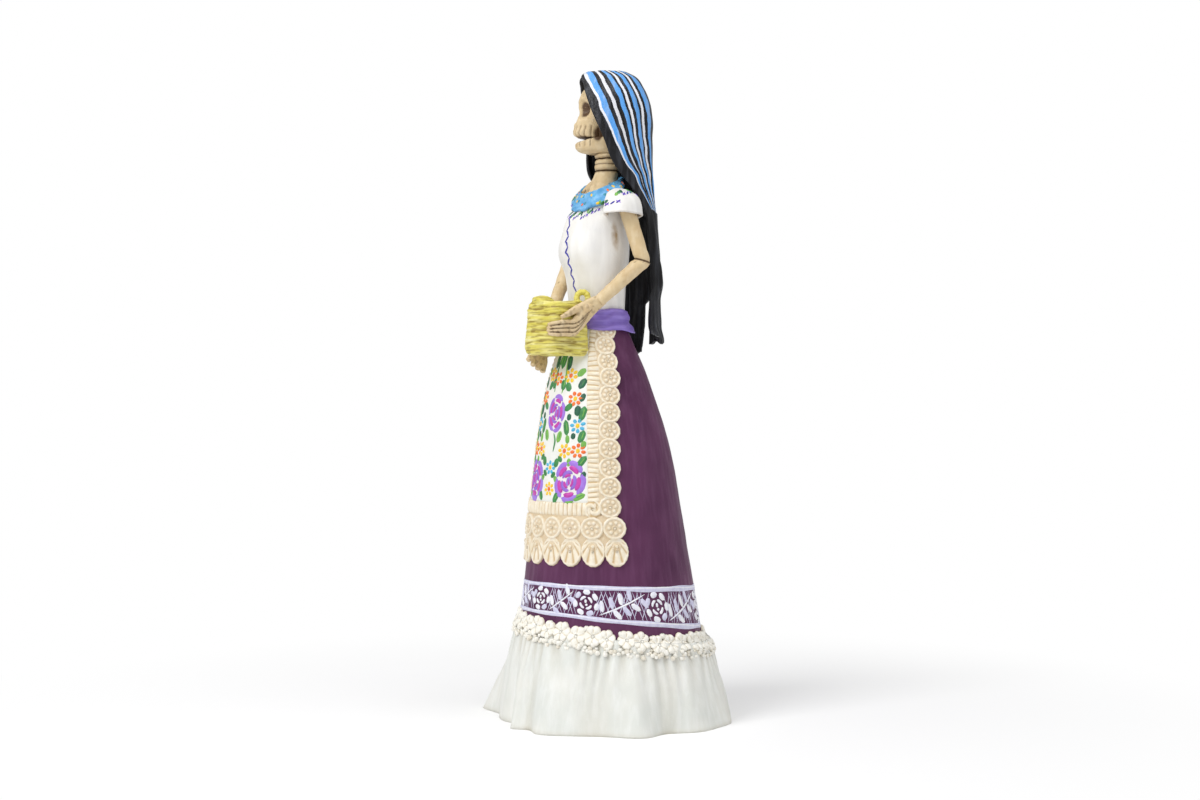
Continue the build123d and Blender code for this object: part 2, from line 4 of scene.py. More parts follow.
import bmesh
import bpy
from mathutils import Matrix, Vector, noise
from mathutils.bvhtree import BVHTree


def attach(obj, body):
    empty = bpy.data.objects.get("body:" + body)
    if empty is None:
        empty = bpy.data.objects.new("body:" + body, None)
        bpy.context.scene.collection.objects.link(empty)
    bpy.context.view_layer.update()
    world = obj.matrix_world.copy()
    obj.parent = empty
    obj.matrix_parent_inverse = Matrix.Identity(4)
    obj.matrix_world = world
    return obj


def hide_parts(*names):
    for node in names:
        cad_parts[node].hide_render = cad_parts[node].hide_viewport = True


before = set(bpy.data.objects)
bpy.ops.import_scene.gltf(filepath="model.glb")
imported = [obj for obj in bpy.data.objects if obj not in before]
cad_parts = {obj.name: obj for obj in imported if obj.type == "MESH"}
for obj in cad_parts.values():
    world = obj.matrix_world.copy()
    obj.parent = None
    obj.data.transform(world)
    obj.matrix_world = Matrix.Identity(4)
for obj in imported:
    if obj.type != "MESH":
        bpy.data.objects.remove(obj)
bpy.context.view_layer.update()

MM = 0.001
TAU = math.tau

# The columns of the CAD model, in millimetres and degrees:
# (height, half width, half depth, centre x, centre y, turn to the figure's right)
SKIRT = [(40, 53.2, 53.2, 0, 0, 0), (62, 50.2, 50.2, 0, -0.6, 0), (90, 46.2, 46.2, 0, -1.6, 0),
         (120, 42.3, 42.3, 0, -2.8, 0), (150, 37.8, 37.8, 0, -4.4, 0), (176, 32.3, 32.3, 0, -6.6, 0),
         (197, 25.9, 25.9, 0, -8.3, 0), (211, 20.6, 20.6, 0, -9, 0), (222, 16.6, 16.2, 0, -9.4, 0)]
TORSO = [(222.1, 16.6, 14.6, 0, -9.4, 0), (232, 17.2, 14.4, 0, -9.7, 0), (248, 19, 16, 0, -10.3, 3),
         (263, 20.6, 18.9, 0, -11, 7), (277, 20.8, 17.4, 0, -10.4, 12), (288, 19.6, 14.8, 0, -9, 16),
         (297, 15.5, 12.2, 0, -7.4, 18), (303, 10.6, 9.4, 0, -4.8, 18), (308, 8, 7.8, 0, -2.6, 18)]
SHAWL = [(203, 22.5, 16.5, 0, 11, 0), (212, 23.5, 17, 0, 11.2, 0), (240, 24.5, 18.5, 0, 11.5, 0),
         (262, 23, 17, 0, 11.5, 3), (288, 20.4, 16.4, 1.4, 10.2, 10), (300, 20.2, 18.4, 2.1, 7.2, 17),
         (314, 20.2, 20.8, 1.7, 3.8, 25), (328, 20, 22.4, 1.2, 1.9, 31), (340, 19.4, 23, 1, 1.5, 35),
         (351, 17.6, 21.4, 0.8, 1.1, 35), (358.5, 14, 18.6, 0.3, 0.3, 35),
         (363.5, 10.6, 15.6, -0.4, -0.7, 35), (366.5, 6, 10.6, -0.9, -1.4, 35)]
LEFT_ARM = [(25.5, -11, 290), (31.5, -3, 257), (19.2, -24.5, 234.4), (15.2, -55, 219.5)]
RIGHT_ARM = [(-23.5, 1.5, 290), (-31, -4, 260), (-20.5, -28, 226), (-16.2, -41.5, 197)]
HEM_RISE, HEM_RISE_ANGLE = 6.2, -50
HEAD_TURN = 35


# ---------------------------------------------------------------- shapes


def clamp(value, low=0.0, high=1.0):
    return max(low, min(high, value))


def ease(low, high, value):
    """Smooth step from 0 at low to 1 at high."""
    t = clamp((value - low) / (high - low))
    return t * t * (3 - 2 * t)


def table(rows, height):
    """Values of a (height, ...) table at a height, on a smooth curve through its rows."""
    height = clamp(height, rows[0][0], rows[-1][0])
    n = next(k for k in range(len(rows) - 1) if height <= rows[k + 1][0])
    low, high = rows[n], rows[n + 1]
    span = high[0] - low[0]
    t = (height - low[0]) / span
    values = []
    for c in range(1, len(low)):
        middle = (high[c] - low[c]) / span
        before = (low[c] - rows[n - 1][c]) / (low[0] - rows[n - 1][0]) if n else middle
        after = (rows[n + 2][c] - high[c]) / (rows[n + 2][0] - high[0]) if n + 2 < len(rows) else middle
        m0, m1 = (before + middle) / 2, (middle + after) / 2
        values.append((2 * t**3 - 3 * t**2 + 1) * low[c] + (t**3 - 2 * t**2 + t) * span * m0
                      + (3 * t**2 - 2 * t**3) * high[c] + (t**3 - t**2) * span * m1)
    return values


def round_point(rows, angle, height):
    """Point of a column at an angle from its front, turned towards the figure's left, in radians."""
    half_width, half_depth, x, y, turn = table(rows, height)
    turn = math.radians(turn)
    across, back = half_width * math.sin(angle), -half_depth * math.cos(angle)
    return Vector((x + across * math.cos(turn) + back * math.sin(turn),
                   y - across * math.sin(turn) + back * math.cos(turn), height))


def from_front(angle):
    """How far an angle is from the figure's front, from 0 to pi."""
    return abs((angle + math.pi) % TAU - math.pi)


def on_ring(angle, radius, height):
    """Point at an angle from the front, round the upright axis."""
    return Vector((radius * math.sin(angle), -radius * math.cos(angle), height))


def cushion(share):
    """Rounded section of a narrow pad: 0 at its edges, 1 at its middle."""
    return math.sqrt(max(0.0, 1 - abs(2 * share - 1) ** 3.2))


def on_column(rows, angle, height, out=0.0):
    """Point at a distance outside a column, and the way out."""
    here = round_point(rows, angle, height)
    along = round_point(rows, angle + 0.01, height) - round_point(rows, angle - 0.01, height)
    up = round_point(rows, angle, min(height + 0.5, rows[-1][0])) - round_point(rows, angle, height - 0.5)
    way = along.cross(up).normalized()
    return here + way * out, way


def wobble(point, size, seed=0.0):
    """Smooth noise from -1 to 1 with features of a given size in millimetres."""
    return noise.noise(Vector(point) / size + Vector((seed, 2.3 * seed, -1.7 * seed)))


def path(points, count):
    """Smooth line of count points through the given ones."""
    points = [Vector(p) for p in points]
    ends = [2 * points[0] - points[1]] + points + [2 * points[-1] - points[-2]]
    line = []
    for k in range(count):
        s = k / (count - 1) * (len(points) - 1)
        n = min(int(s), len(points) - 2)
        t = s - n
        a, b, c, d = ends[n:n + 4]
        line.append(0.5 * (2 * b + (c - a) * t + (2 * a - 5 * b + 4 * c - d) * t**2
                           + (3 * b - a - 3 * c + d) * t**3))
    return line


class Build:
    """Vertices, faces and a darkening for each vertex, gathered for one piece: mostly painted shade in
    hollows, creases and undersides, also dark paint and random spots, and on the shawl the place across its
    stripes.
    """

    def __init__(self):
        self.verts, self.faces, self.shade_and_wash = [], [], []

    def grid(self, rows, shade_and_wash=None, loop=False, close=False):
        """Rows of points joined into quads. loop joins row ends, close joins the last row to the first."""
        start, width = len(self.verts), len(rows[0])
        for r, row in enumerate(rows):
            self.verts.extend(row)
            self.shade_and_wash.extend(shade_and_wash[r] if shade_and_wash else [0.0] * width)
        for r in range(len(rows) if close else len(rows) - 1):
            for k in range(width if loop else width - 1):
                a, b = start + r * width + k, start + r * width + (k + 1) % width
                c, d = (start + ((r + 1) % len(rows)) * width + (k + 1) % width,
                        start + ((r + 1) % len(rows)) * width + k)
                self.faces.append((a, b, c, d))
        return start

    def cap(self, start, width, flip=False):
        """Closes a ring of vertices with one face."""
        ring = list(range(start, start + width))
        self.faces.append(tuple(reversed(ring)) if flip else tuple(ring))

    def tube(self, line, radii, sectors=16, squash=1.0, flat=None):
        """Round tube along a line, closed at both ends; flat is the way it is squashed."""
        rows = []
        side = None
        for n, here in enumerate(line):
            way = (line[min(n + 1, len(line) - 1)] - line[max(n - 1, 0)]).normalized()
            if side is None:
                side = (flat.cross(way) if flat else way.orthogonal()).normalized()
            side = (side - way * side.dot(way)).normalized()
            other = way.cross(side)
            rows.append([here + side * radii[n] * math.cos(TAU * k / sectors)
                         + other * radii[n] * squash * math.sin(TAU * k / sectors) for k in range(sectors)])
        start = self.grid(rows, loop=True)
        self.cap(start, sectors, flip=True)
        self.cap(start + (len(rows) - 1) * sectors, sectors)

    def ball(self, centre, radius, sectors=10, rings=7, shade_and_wash=0.0):
        """Small round bead."""

        def at(r, k):
            down, turn = math.pi * r / rings, TAU * k / sectors
            return Vector(centre) + radius * Vector((math.sin(down) * math.cos(turn),
                                                     math.sin(down) * math.sin(turn), math.cos(down)))

        rows = [[at(r, k) for k in range(sectors)] for r in range(1, rings)]
        start = self.grid(rows, [[shade_and_wash] * sectors] * len(rows), loop=True)
        self.cap(start, sectors)
        self.cap(start + (rings - 2) * sectors, sectors, flip=True)

    def piece(self, name, material, slot, nodes=()):
        """Makes the object, on the root body, in place of its CAD nodes."""
        mesh = bpy.data.meshes.new(name)
        mesh.from_pydata([Vector(v) * MM for v in self.verts], [], self.faces)
        mesh.shade_smooth()
        layer = mesh.attributes.new("shade_and_wash", "FLOAT", "POINT")
        layer.data.foreach_set("value", self.shade_and_wash)
        mesh.materials.append(material)
        obj = bpy.data.objects.new(name, mesh)
        bpy.context.scene.collection.objects.link(obj)
        finish_piece(obj, nodes)
        return obj


def finish_piece(obj, nodes=()):
    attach(obj, "root")
    if nodes:
        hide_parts(*nodes)


def make_normals_outward(obj):
    """Turns every face of a closed mesh outwards."""
    work = bmesh.new()
    work.from_mesh(obj.data)
    bmesh.ops.recalc_face_normals(work, faces=work.faces)
    work.to_mesh(obj.data)
    work.free()


# ---------------------------------------------------------------- materials


def add_node(tree, kind, inputs, **settings):
    """Adds a shader node; inputs gives each socket a value, or the output that feeds it."""
    node = tree.nodes.new("ShaderNode" + kind)
    for name, value in settings.items():
        setattr(node, name, value)
    for socket, value in inputs.items():
        if isinstance(value, bpy.types.NodeSocket):
            tree.links.new(value, node.inputs[socket])
        else:
            node.inputs[socket].default_value = value
    return node


def paint(name, base, deep, light, streaks=(250, 250, 30), streak=0.5, blotch=90, rough=0.6, bump=0.25,
          shade_and_wash=None, bands=(), sheen=0.5):
    """Hand-painted surface with blotches towards deep and brush streaks towards light.

    Painted shade darkens it towards the darkening colour, unevenly, where the piece says: in its hollows,
    creases and undersides, and on the bone also its dark paint.
    bands are (place, colour) stripes across the piece instead of the painted shade; a colour of None shows
    the ground.
    """
    material = bpy.data.materials.new(name)
    material.use_nodes = True
    tree = material.node_tree
    shader = tree.nodes["Principled BSDF"]
    shader.inputs["Specular IOR Level"].default_value = sheen
    place = add_node(tree, "TexCoord", {}).outputs["Object"]
    # The piece's darkening of each vertex: painted shade, with dark paint on the bone; on the shawl, the
    # place across its stripes.
    piece_shade_and_wash = add_node(tree, "Attribute", {}, attribute_name="shade_and_wash").outputs["Fac"]

    def noise_at(scale, detail=3.0, stretch=(1, 1, 1)):
        stretched = add_node(tree, "Mapping", {"Vector": place, "Scale": stretch}).outputs["Vector"]
        return add_node(tree, "TexNoise",
                        {"Vector": stretched, "Scale": scale, "Detail": detail}).outputs["Fac"]

    def spread(value, low, high, top=1.0, bottom=0.0):
        return add_node(tree, "MapRange", {"Value": value, "From Min": low, "From Max": high,
                                           "To Min": bottom, "To Max": top}).outputs["Result"]

    def mix(factor, first, second):
        first, second = ((*tone, 1) if isinstance(tone, tuple) else tone for tone in (first, second))
        return add_node(tree, "Mix", {"Factor": factor, "A": first, "B": second},
                        data_type="RGBA").outputs["Result"]

    def maths(operation, *values, **settings):
        return add_node(tree, "Math", dict(enumerate(values)), operation=operation,
                        **settings).outputs["Value"]

    strokes = noise_at(1.0, 4.0, streaks)
    colour = mix(spread(noise_at(blotch, 2.0), 0.35, 0.7), base, deep)
    colour = mix(spread(strokes, 0.45, 0.75, streak), colour, light)
    if bands:
        waver = maths("MULTIPLY_ADD", noise_at(110), 0.09, piece_shade_and_wash)
        stripes = add_node(tree, "ValToRGB", {"Fac": spread(waver, 0.0, 1.11)})
        stripes.color_ramp.interpolation = "CONSTANT"
        stops = stripes.color_ramp.elements
        for n, (start, tone) in enumerate(bands):
            stop = stops[n] if n < 2 else stops.new(1.0)
            stop.position = 0.02 + 0.9 * start
            stop.color = (*(tone or (0, 0, 0)), 1 if tone else 0)
        faded = mix(spread(strokes, 0.5, 0.8, 0.35), stripes.outputs["Color"], (0.62, 0.64, 0.68))
        colour = mix(stripes.outputs["Alpha"], colour, faded)
    # Painted shade: the piece's hollows, creases and undersides are darkened unevenly towards the given
    # colour.
    if shade_and_wash:
        uneven = maths("MULTIPLY", piece_shade_and_wash, spread(noise_at(500), 0.05, 0.42, 1.25), use_clamp=True)
        colour = mix(uneven, colour, shade_and_wash)
    tree.links.new(colour, shader.inputs["Base Color"])
    tree.links.new(spread(strokes, 0.3, 0.75, rough - 0.1, rough + 0.08), shader.inputs["Roughness"])
    height = maths("MULTIPLY_ADD", noise_at(900), 0.5, strokes)
    relief = add_node(tree, "Bump", {"Strength": bump, "Distance": 0.0006, "Height": height})
    tree.links.new(relief.outputs["Normal"], shader.inputs["Normal"])
    return material


# The darkening colours given to the materials below are painted shade, laid into hollows, creases and
# undersides; they also give the bone's sockets, teeth lines and elbows their dark paint, and random spots.
PURPLE = paint("purple_cloth", (0.114, 0.034, 0.091), (0.074, 0.019, 0.060), (0.175, 0.068, 0.150),
               streaks=(330, 330, 14), streak=0.35, blotch=30, rough=0.5, bump=0.35, sheen=0.18)
HEM_WHITE = paint("hem_white", (0.77, 0.77, 0.72), (0.70, 0.72, 0.68), (0.85, 0.86, 0.84),
                  streaks=(300, 300, 12), streak=0.6, blotch=45, rough=0.6, bump=0.4, shade_and_wash=(0.56, 0.53, 0.44))
BLOUSE_WHITE = paint("blouse_white", (0.80, 0.78, 0.74), (0.70, 0.69, 0.68), (0.90, 0.89, 0.87),
                     streaks=(160, 160, 22), streak=0.7, blotch=60, rough=0.6, bump=0.4,
                     shade_and_wash=(0.34, 0.22, 0.10))
LACE = paint("cream_lace", (0.85, 0.765, 0.615), (0.79, 0.69, 0.51), (0.92, 0.88, 0.79),
             streaks=(420, 420, 420), streak=0.6, blotch=220, rough=0.6, bump=0.5, shade_and_wash=(0.60, 0.43, 0.23))
TRIM = paint("trim_lace", (0.90, 0.88, 0.81), (0.85, 0.82, 0.73), (0.95, 0.94, 0.90),
             streaks=(420, 420, 420), streak=0.5, blotch=220, rough=0.6, bump=0.5, shade_and_wash=(0.66, 0.57, 0.41))
APRON_WHITE = paint("apron_white", (0.84, 0.84, 0.80), (0.78, 0.79, 0.74), (0.90, 0.90, 0.88),
                    streaks=(200, 200, 40), streak=0.5, rough=0.6, bump=0.3)
VIOLET = paint("violet_sash", (0.25, 0.165, 0.57), (0.18, 0.115, 0.45), (0.37, 0.27, 0.71),
               streaks=(60, 60, 420), streak=0.6, blotch=120, rough=0.5, bump=0.4)
BONE = paint("bone", (0.68, 0.53, 0.31), (0.60, 0.44, 0.24), (0.80, 0.67, 0.46),
             streaks=(300, 300, 160), streak=0.5, blotch=130, rough=0.58, bump=0.5, shade_and_wash=(0.10, 0.05, 0.02))
COLLAR_BLUE = paint("collar_blue", (0.13, 0.40, 0.70), (0.05, 0.25, 0.50), (0.33, 0.60, 0.84),
                    streaks=(300, 300, 300), streak=0.6, blotch=260, rough=0.6, bump=0.6)
PALM = paint("palm", (0.73, 0.65, 0.125), (0.62, 0.54, 0.07), (0.91, 0.86, 0.45),
             streaks=(60, 60, 620), streak=0.8, blotch=140, rough=0.5, bump=0.5, shade_and_wash=(0.30, 0.21, 0.03))

STRIPE_BLUE, STRIPE_WHITE = (0.10, 0.34, 0.76), (0.74, 0.75, 0.80)
SHAWL_STRIPES = paint("shawl_stripes", (0.004, 0.004, 0.006), (0.002, 0.002, 0.003), (0.07, 0.074, 0.09),
                      streaks=(420, 420, 30), streak=0.6, blotch=100, rough=0.42, bump=0.8, sheen=0.28,
                      bands=((0, None), (0.005, STRIPE_WHITE), (0.06, STRIPE_BLUE), (0.175, None),
                             (0.26, STRIPE_WHITE), (0.335, None), (0.42, STRIPE_BLUE), (0.5, None),
                             (0.555, STRIPE_WHITE), (0.6, None), (0.65, STRIPE_BLUE), (0.735, None),
                             (0.785, STRIPE_WHITE), (0.825, None), (0.87, STRIPE_BLUE), (0.96, None)))

# ---------------------------------------------------------------- camera, floor and light

AZIMUTH, DISTANCE, HEIGHT, SIDE = math.radians(50), 1.050, 0.180, -0.00569
camera = bpy.data.objects.new("camera", bpy.data.cameras.new("camera"))
camera.location = (DISTANCE * math.sin(AZIMUTH) + SIDE * math.cos(AZIMUTH),
                   -DISTANCE * math.cos(AZIMUTH) + SIDE * math.sin(AZIMUTH), HEIGHT)
camera.rotation_euler = (math.radians(90), 0, AZIMUTH)
camera.data.lens, camera.data.sensor_width = 55.38, 36
bpy.context.scene.collection.objects.link(camera)
bpy.context.scene.camera = camera

# Pale floor that fades into the white of the backdrop away from the figure
floor_mesh = bpy.data.meshes.new("floor")
floor_mesh.from_pydata([(-8, -8, 0), (8, -8, 0), (8, 8, 0), (-8, 8, 0)], [], [(0, 1, 2, 3)])
floor = bpy.data.objects.new("floor", floor_mesh)
floor_material = bpy.data.materials.new("pale_floor")
floor_material.use_nodes = True
tree = floor_material.node_tree
card = tree.nodes["Principled BSDF"]
card.inputs["Base Color"].default_value = (0.93, 0.93, 0.935, 1)
card.inputs["Roughness"].default_value = 0.9
glow = add_node(tree, "Emission", {"Color": (1, 1, 1, 1)})
place = add_node(tree, "TexCoord", {}).outputs["Object"]
reach = add_node(tree, "VectorMath", {0: place}, operation="LENGTH").outputs["Value"]
fade = add_node(tree, "MapRange", {"Value": reach, "From Min": 0.1, "From Max": 0.42},
                interpolation_type="SMOOTHSTEP").outputs["Result"]
blend = add_node(tree, "MixShader", {"Fac": fade, 1: card.outputs["BSDF"], 2: glow.outputs["Emission"]})
tree.links.new(blend.outputs["Shader"], tree.nodes["Material Output"].inputs["Surface"])
floor_mesh.materials.append(floor_material)
bpy.context.scene.collection.objects.link(floor)

# White backdrop, and a softer white light from all round
world = bpy.data.worlds.new("studio")
world.use_nodes = True
tree = world.node_tree
surround = tree.nodes["Background"]
surround.inputs["Color"].default_value = (1, 1, 1, 1)
surround.inputs["Strength"].default_value = 0.5
backdrop = add_node(tree, "Background", {"Color": (1, 1, 1, 1), "Strength": 1.0})
seen = add_node(tree, "LightPath", {}).outputs["Is Camera Ray"]
sky = add_node(tree, "MixShader",
               {"Fac": seen, 1: surround.outputs["Background"], 2: backdrop.outputs["Background"]})
tree.links.new(sky.outputs["Shader"], tree.nodes["World Output"].inputs["Surface"])
bpy.context.scene.world = world


def area_light(name, azimuth, elevation, distance, size, power):
    """Soft square light that points at the figure's middle."""
    light = bpy.data.objects.new(name, bpy.data.lights.new(name, "AREA"))
    a, e = math.radians(azimuth), math.radians(elevation)
    light.location = (distance * math.cos(e) * math.sin(a), -distance * math.cos(e) * math.cos(a),
                      0.18 + distance * math.sin(e))
    light.rotation_euler = (Vector((0, 0, 0.18)) - light.location).to_track_quat("-Z", "Y").to_euler()
    light.data.size, light.data.energy = size, power
    bpy.context.scene.collection.objects.link(light)


area_light("key", 5, 40, 1.6, 0.7, 13)
area_light("fill", 120, 20, 1.8, 1.2, 2.5)
area_light("top", 70, 78, 1.5, 0.8, 8)
bpy.context.scene.view_settings.view_transform = "Standard"

# ---------------------------------------------------------------- skirt and hem

SECTORS = 300


def angles(count=SECTORS):
    return [TAU * k / count for k in range(count)]


def hem_height(angle):
    """Height of the seam trim's middle round the hem: it was pasted on a little askew."""
    return 50.4 + HEM_RISE * math.cos(angle - math.radians(HEM_RISE_ANGLE))


def skirt_at(angle, height, out=0.0):
    point, way = on_column(SKIRT, angle, height, out)
    uneven = 0.35 * wobble(point, 22, 1) + 0.12 * wobble(point, 7, 2)
    return point + way * uneven


# Shell of pasted paper, 2 mm thick
skirt = Build()
heights = [38.5 + 183.5 * k / 110 for k in range(111)]
outer = [[skirt_at(a, z) for a in angles()] for z in heights]
inner = [[on_column(SKIRT, a, z, -2)[0] for a in angles()] for z in reversed(heights)]
skirt.grid(outer + inner, loop=True, close=True)
skirt.piece("skirt_cloth", PURPLE, "painted_skirt", ["skirt"])

# The hem's seam stands a little off centre, towards this angle
SEAM_LEAN = math.radians(140)
# Where the hem sweeps out or draws in at the floor: (angle, half width) in degrees, and millimetres
SWEEPS = ((-69, 24, 13), (-24, 34, -8.5), (123, 18, 5.5), (139, 12, -4.5))
SEAM_OVERLAP = 1.5
HEM_SECTORS, HEM_ROWS = 560, 45


def fold(angle):
    """Broad uneven folds of the hem, about -1 to 1."""
    bend = angle + 0.16 * math.sin(2 * angle + 0.6) + 0.1 * math.sin(5 * angle)
    return 0.75 * math.cos(11 * bend + 0.4) + 0.35 * math.cos(7 * angle + 2.1) * math.sin(3 * angle + 1)


def pleat(angle, t):
    """Fine gathers under the seam, -1 to 1; t is 0 at the seam and 1 at the floor."""
    return math.cos(46 * (angle + 0.05 * math.sin(9 * angle)) + 1.4 * math.sin(4 * t + 6 * angle))


def hem_at(angle, height, inset=0.0):
    """Point of the hem; inset is the distance inside, where the small folds are left out."""
    top = hem_height(angle) + SEAM_OVERLAP
    t = clamp((top - height) / top)
    radius = 54.2 + 13.2 * t**1.05 + 0.9 * math.sin(math.pi * t) - inset
    radius += 2.2 * (1 - t) * math.cos(angle - SEAM_LEAN)
    radius += 3.9 * t**1.2 * fold(angle + 0.03 * math.sin(3 * t))
    for place, width, reach in SWEEPS:
        radius += reach * t**1.35 * ease(math.radians(width), 0, from_front(angle - math.radians(place)))
    if not inset:
        radius += 0.55 * pleat(angle, t) * ease(1.0, 0.1, t) * ease(0, 0.1, t + 0.04)
        radius += 0.28 * math.cos(29 * angle + 2 * math.sin(5 * angle)
                                  + 1.5 * t) * math.sin(math.pi * clamp(t))
        radius += 0.3 * wobble((40 * angle, 0, height), 6, 3)
    return on_ring(angle, radius, height)


hem = Build()
hem_rows, hem_shade = [], []
for k in range(HEM_ROWS):
    share = k / (HEM_ROWS - 1)
    row, tint = [], []
    for a in angles(HEM_SECTORS):
        row.append(hem_at(a, (hem_height(a) + SEAM_OVERLAP) * (1 - share)))
        # Painted shade: darker in the valleys of the gathers under the seam and of the broad folds, and along
        # the bottom edge where the hem meets the floor.
        tint.append(clamp(0.55 * ease(0.2, -1, pleat(a, share)) * ease(0.5, 0, share)
                          + 0.35 * ease(0.94, 1, share)
                          + 0.3 * ease(-0.2, -1, fold(a)) * share))
    hem_rows.append(row)
    hem_shade.append(tint)
# Inside of the hem, turned in from the floor, with an even painted shade.
for lift, inset in ((0.0, 0.9), (0.5, 1.8), (12, 2.2), (26, 2.2), (38, 2.3)):
    hem_rows.append([hem_at(a, lift, inset) for a in angles(HEM_SECTORS)])
    hem_shade.append([0.4] * HEM_SECTORS)
hem.grid(hem_rows, hem_shade, loop=True, close=True)
hem.piece("ruffled_hem", HEM_WHITE, "white_cloth", ["hem_ruffle"])


# ---------------------------------------------------------------- pressed lace


def pad(build, place, outline, height, rings=10, sectors=40):
    """Raised pad.

    place(x, y, out) puts it on the surface, outline(way) is its reach, and height(x, y, share) gives its
    rise and its painted shade.
    """
    rows, tints = [], []
    for r in range(rings + 2):
        share = min(1.0, (r / rings) ** 0.85)
        row, tint = [], []
        for k in range(sectors):
            way = TAU * k / sectors
            reach = outline(way) * (share if r <= rings else 1.02)
            x, y = reach * math.cos(way), reach * math.sin(way)
            # Painted shade round the pad's foot, where its edge meets the surface under it.
            rise, dark = height(x, y, share) if r < rings else (-0.15, 0.8)
            if r == rings:
                rise, dark = height(x, y, 0.97)[0] * 0.55, 0.35
            row.append(place(x, y, rise))
            tint.append(dark)
        rows.append(row)
        tints.append(tint)
    start = build.grid(rows[1:], tints[1:], loop=True)
    build.verts.append(rows[0][0])
    build.shade_and_wash.append(tints[0][0])
    centre = len(build.verts) - 1
    for k in range(sectors):
        build.faces.append((centre, start + k, start + (k + 1) % sectors))


def on_skirt(angle, height, lift=0.0):
    """Local (across, up, out) frame on the skirt."""
    def place(x, y, out):
        z = height + y * 0.985
        radius = table(SKIRT, z)[0]
        return skirt_at(angle + x / radius, z, out + lift)
    return place


def medallion_height(seed, radius, thick=1.5):
    """Round lace boss: a raised rim round a recess full of beads."""
    spin = seed % 7
    spots = [(0.0, 0.0, 1.15)] + [(radius * 0.48 * math.cos(TAU * k / 7 + spin),
                                   radius * 0.48 * math.sin(TAU * k / 7 + spin), 1.15)
                                  for k in range(7)]

    def height(x, y, share):
        rim = math.exp(-((share - 0.86) / 0.09) ** 2)
        rise = (thick + 0.3 * rim * (0.8 + 0.3 * math.cos(13 * math.atan2(y, x)))
                - 0.3 * ease(0.8, 0.72, share))
        rise -= 0.5 * ease(0.92, 1, share)
        # Painted shade in the recess inside the rim and at the outer edge; the beads stand light out of it.
        dark = 0.42 * ease(0.82, 0.74, share) + 0.25 * ease(0.94, 1, share)
        for bx, by, size in spots:
            far = math.hypot(x - bx, y - by) / size
            if far < 1:
                rise += 0.75 * math.sqrt(1 - far * far)
                dark *= ease(0.3, 1, far)
        return rise, dark
    return height


def wavy(radius, lobes, depth, phase=0.0):
    return lambda way: radius * (1 + depth * math.cos(lobes * way + phase))


def fan_outline(way):
    s, c = math.sin(way), math.cos(way)
    reach = 1 / math.sqrt((c / 6.5) ** 2 + (s / (8.3 if s < 0 else 7.9)) ** 2)
    return reach * (1 + 0.012 * math.cos(18 * way))


def fan_height(seed):
    rng = random.Random(seed)
    tilt = rng.uniform(-0.08, 0.08)

    def height(x, y, share):
        far = math.hypot(x, 7.2 - y)
        way = math.atan2(x, 7.2 - y) + tilt
        ridge = abs(math.cos(way * 8.5))
        rise = 1.2 + 0.5 * ridge**1.5 * ease(2.6, 5.5, far) * ease(0.93, 0.84, share)
        rise += 0.45 * math.exp(-((share - 0.92) / 0.07) ** 2)
        # Painted shade in the grooves between the ridges, round the knob and at the knob's foot.
        dark = 0.85 * ease(0.7, 0.1, ridge) * ease(2.6, 4.5, far) * ease(0.9, 0.8, share)
        knob = math.hypot(x, y - 2.9)
        if knob < 1.25:
            rise = 1.5 + 0.9 * math.sqrt(1 - (knob / 1.25) ** 2)
            dark = 0.7 * ease(0.5, 0.2, 1.25 - knob)
        elif knob < 2.6:
            rise += 0.35 * abs(math.cos(4 * math.atan2(x, y - 2.9)))
            dark = max(dark, 0.35)
        return rise, dark
    return height


def border_angle(height):
    """Outer angle of the apron's ribbed border."""
    radius = table(SKIRT, height)[0]
    return PANEL_ANGLE + 7.5 / radius + 0.02 * ease(150, 200, height) - 0.19 * ease(192, 215, height)


PANEL_ANGLE, PANEL_FOOT, PANEL_TOP, RIB_FOOT = math.radians(35.3), 124.2, 222, 116.6


def apron_drop(angle):
    """The apron hangs a little lower at its middle than at its corners."""
    return -0.6 * math.cos(angle)


def rib_section(ridge, share, look):
    """Rise and painted shade of a gathered border across its width: ridge is 1 on a rib and 0 between two."""
    edge = abs(2 * share - 1)
    low, high, dark = RIB_LOOKS[look]
    rise = (low + high * ridge) * cushion(share) - (0.15 if edge == 1 else 0)
    return rise, clamp(0.95 * ease(dark, 0.1, ridge) + 0.4 * ease(0.9, 1, edge))


# Least rise of a border, the ribs' rise above it, and where the painted shade between the ribs begins
RIB_LOOKS = {"side": (0.75, 0.85, 0.55), "foot": (0.8, 0.95, 0.5)}
RIB_PITCH = 2.65

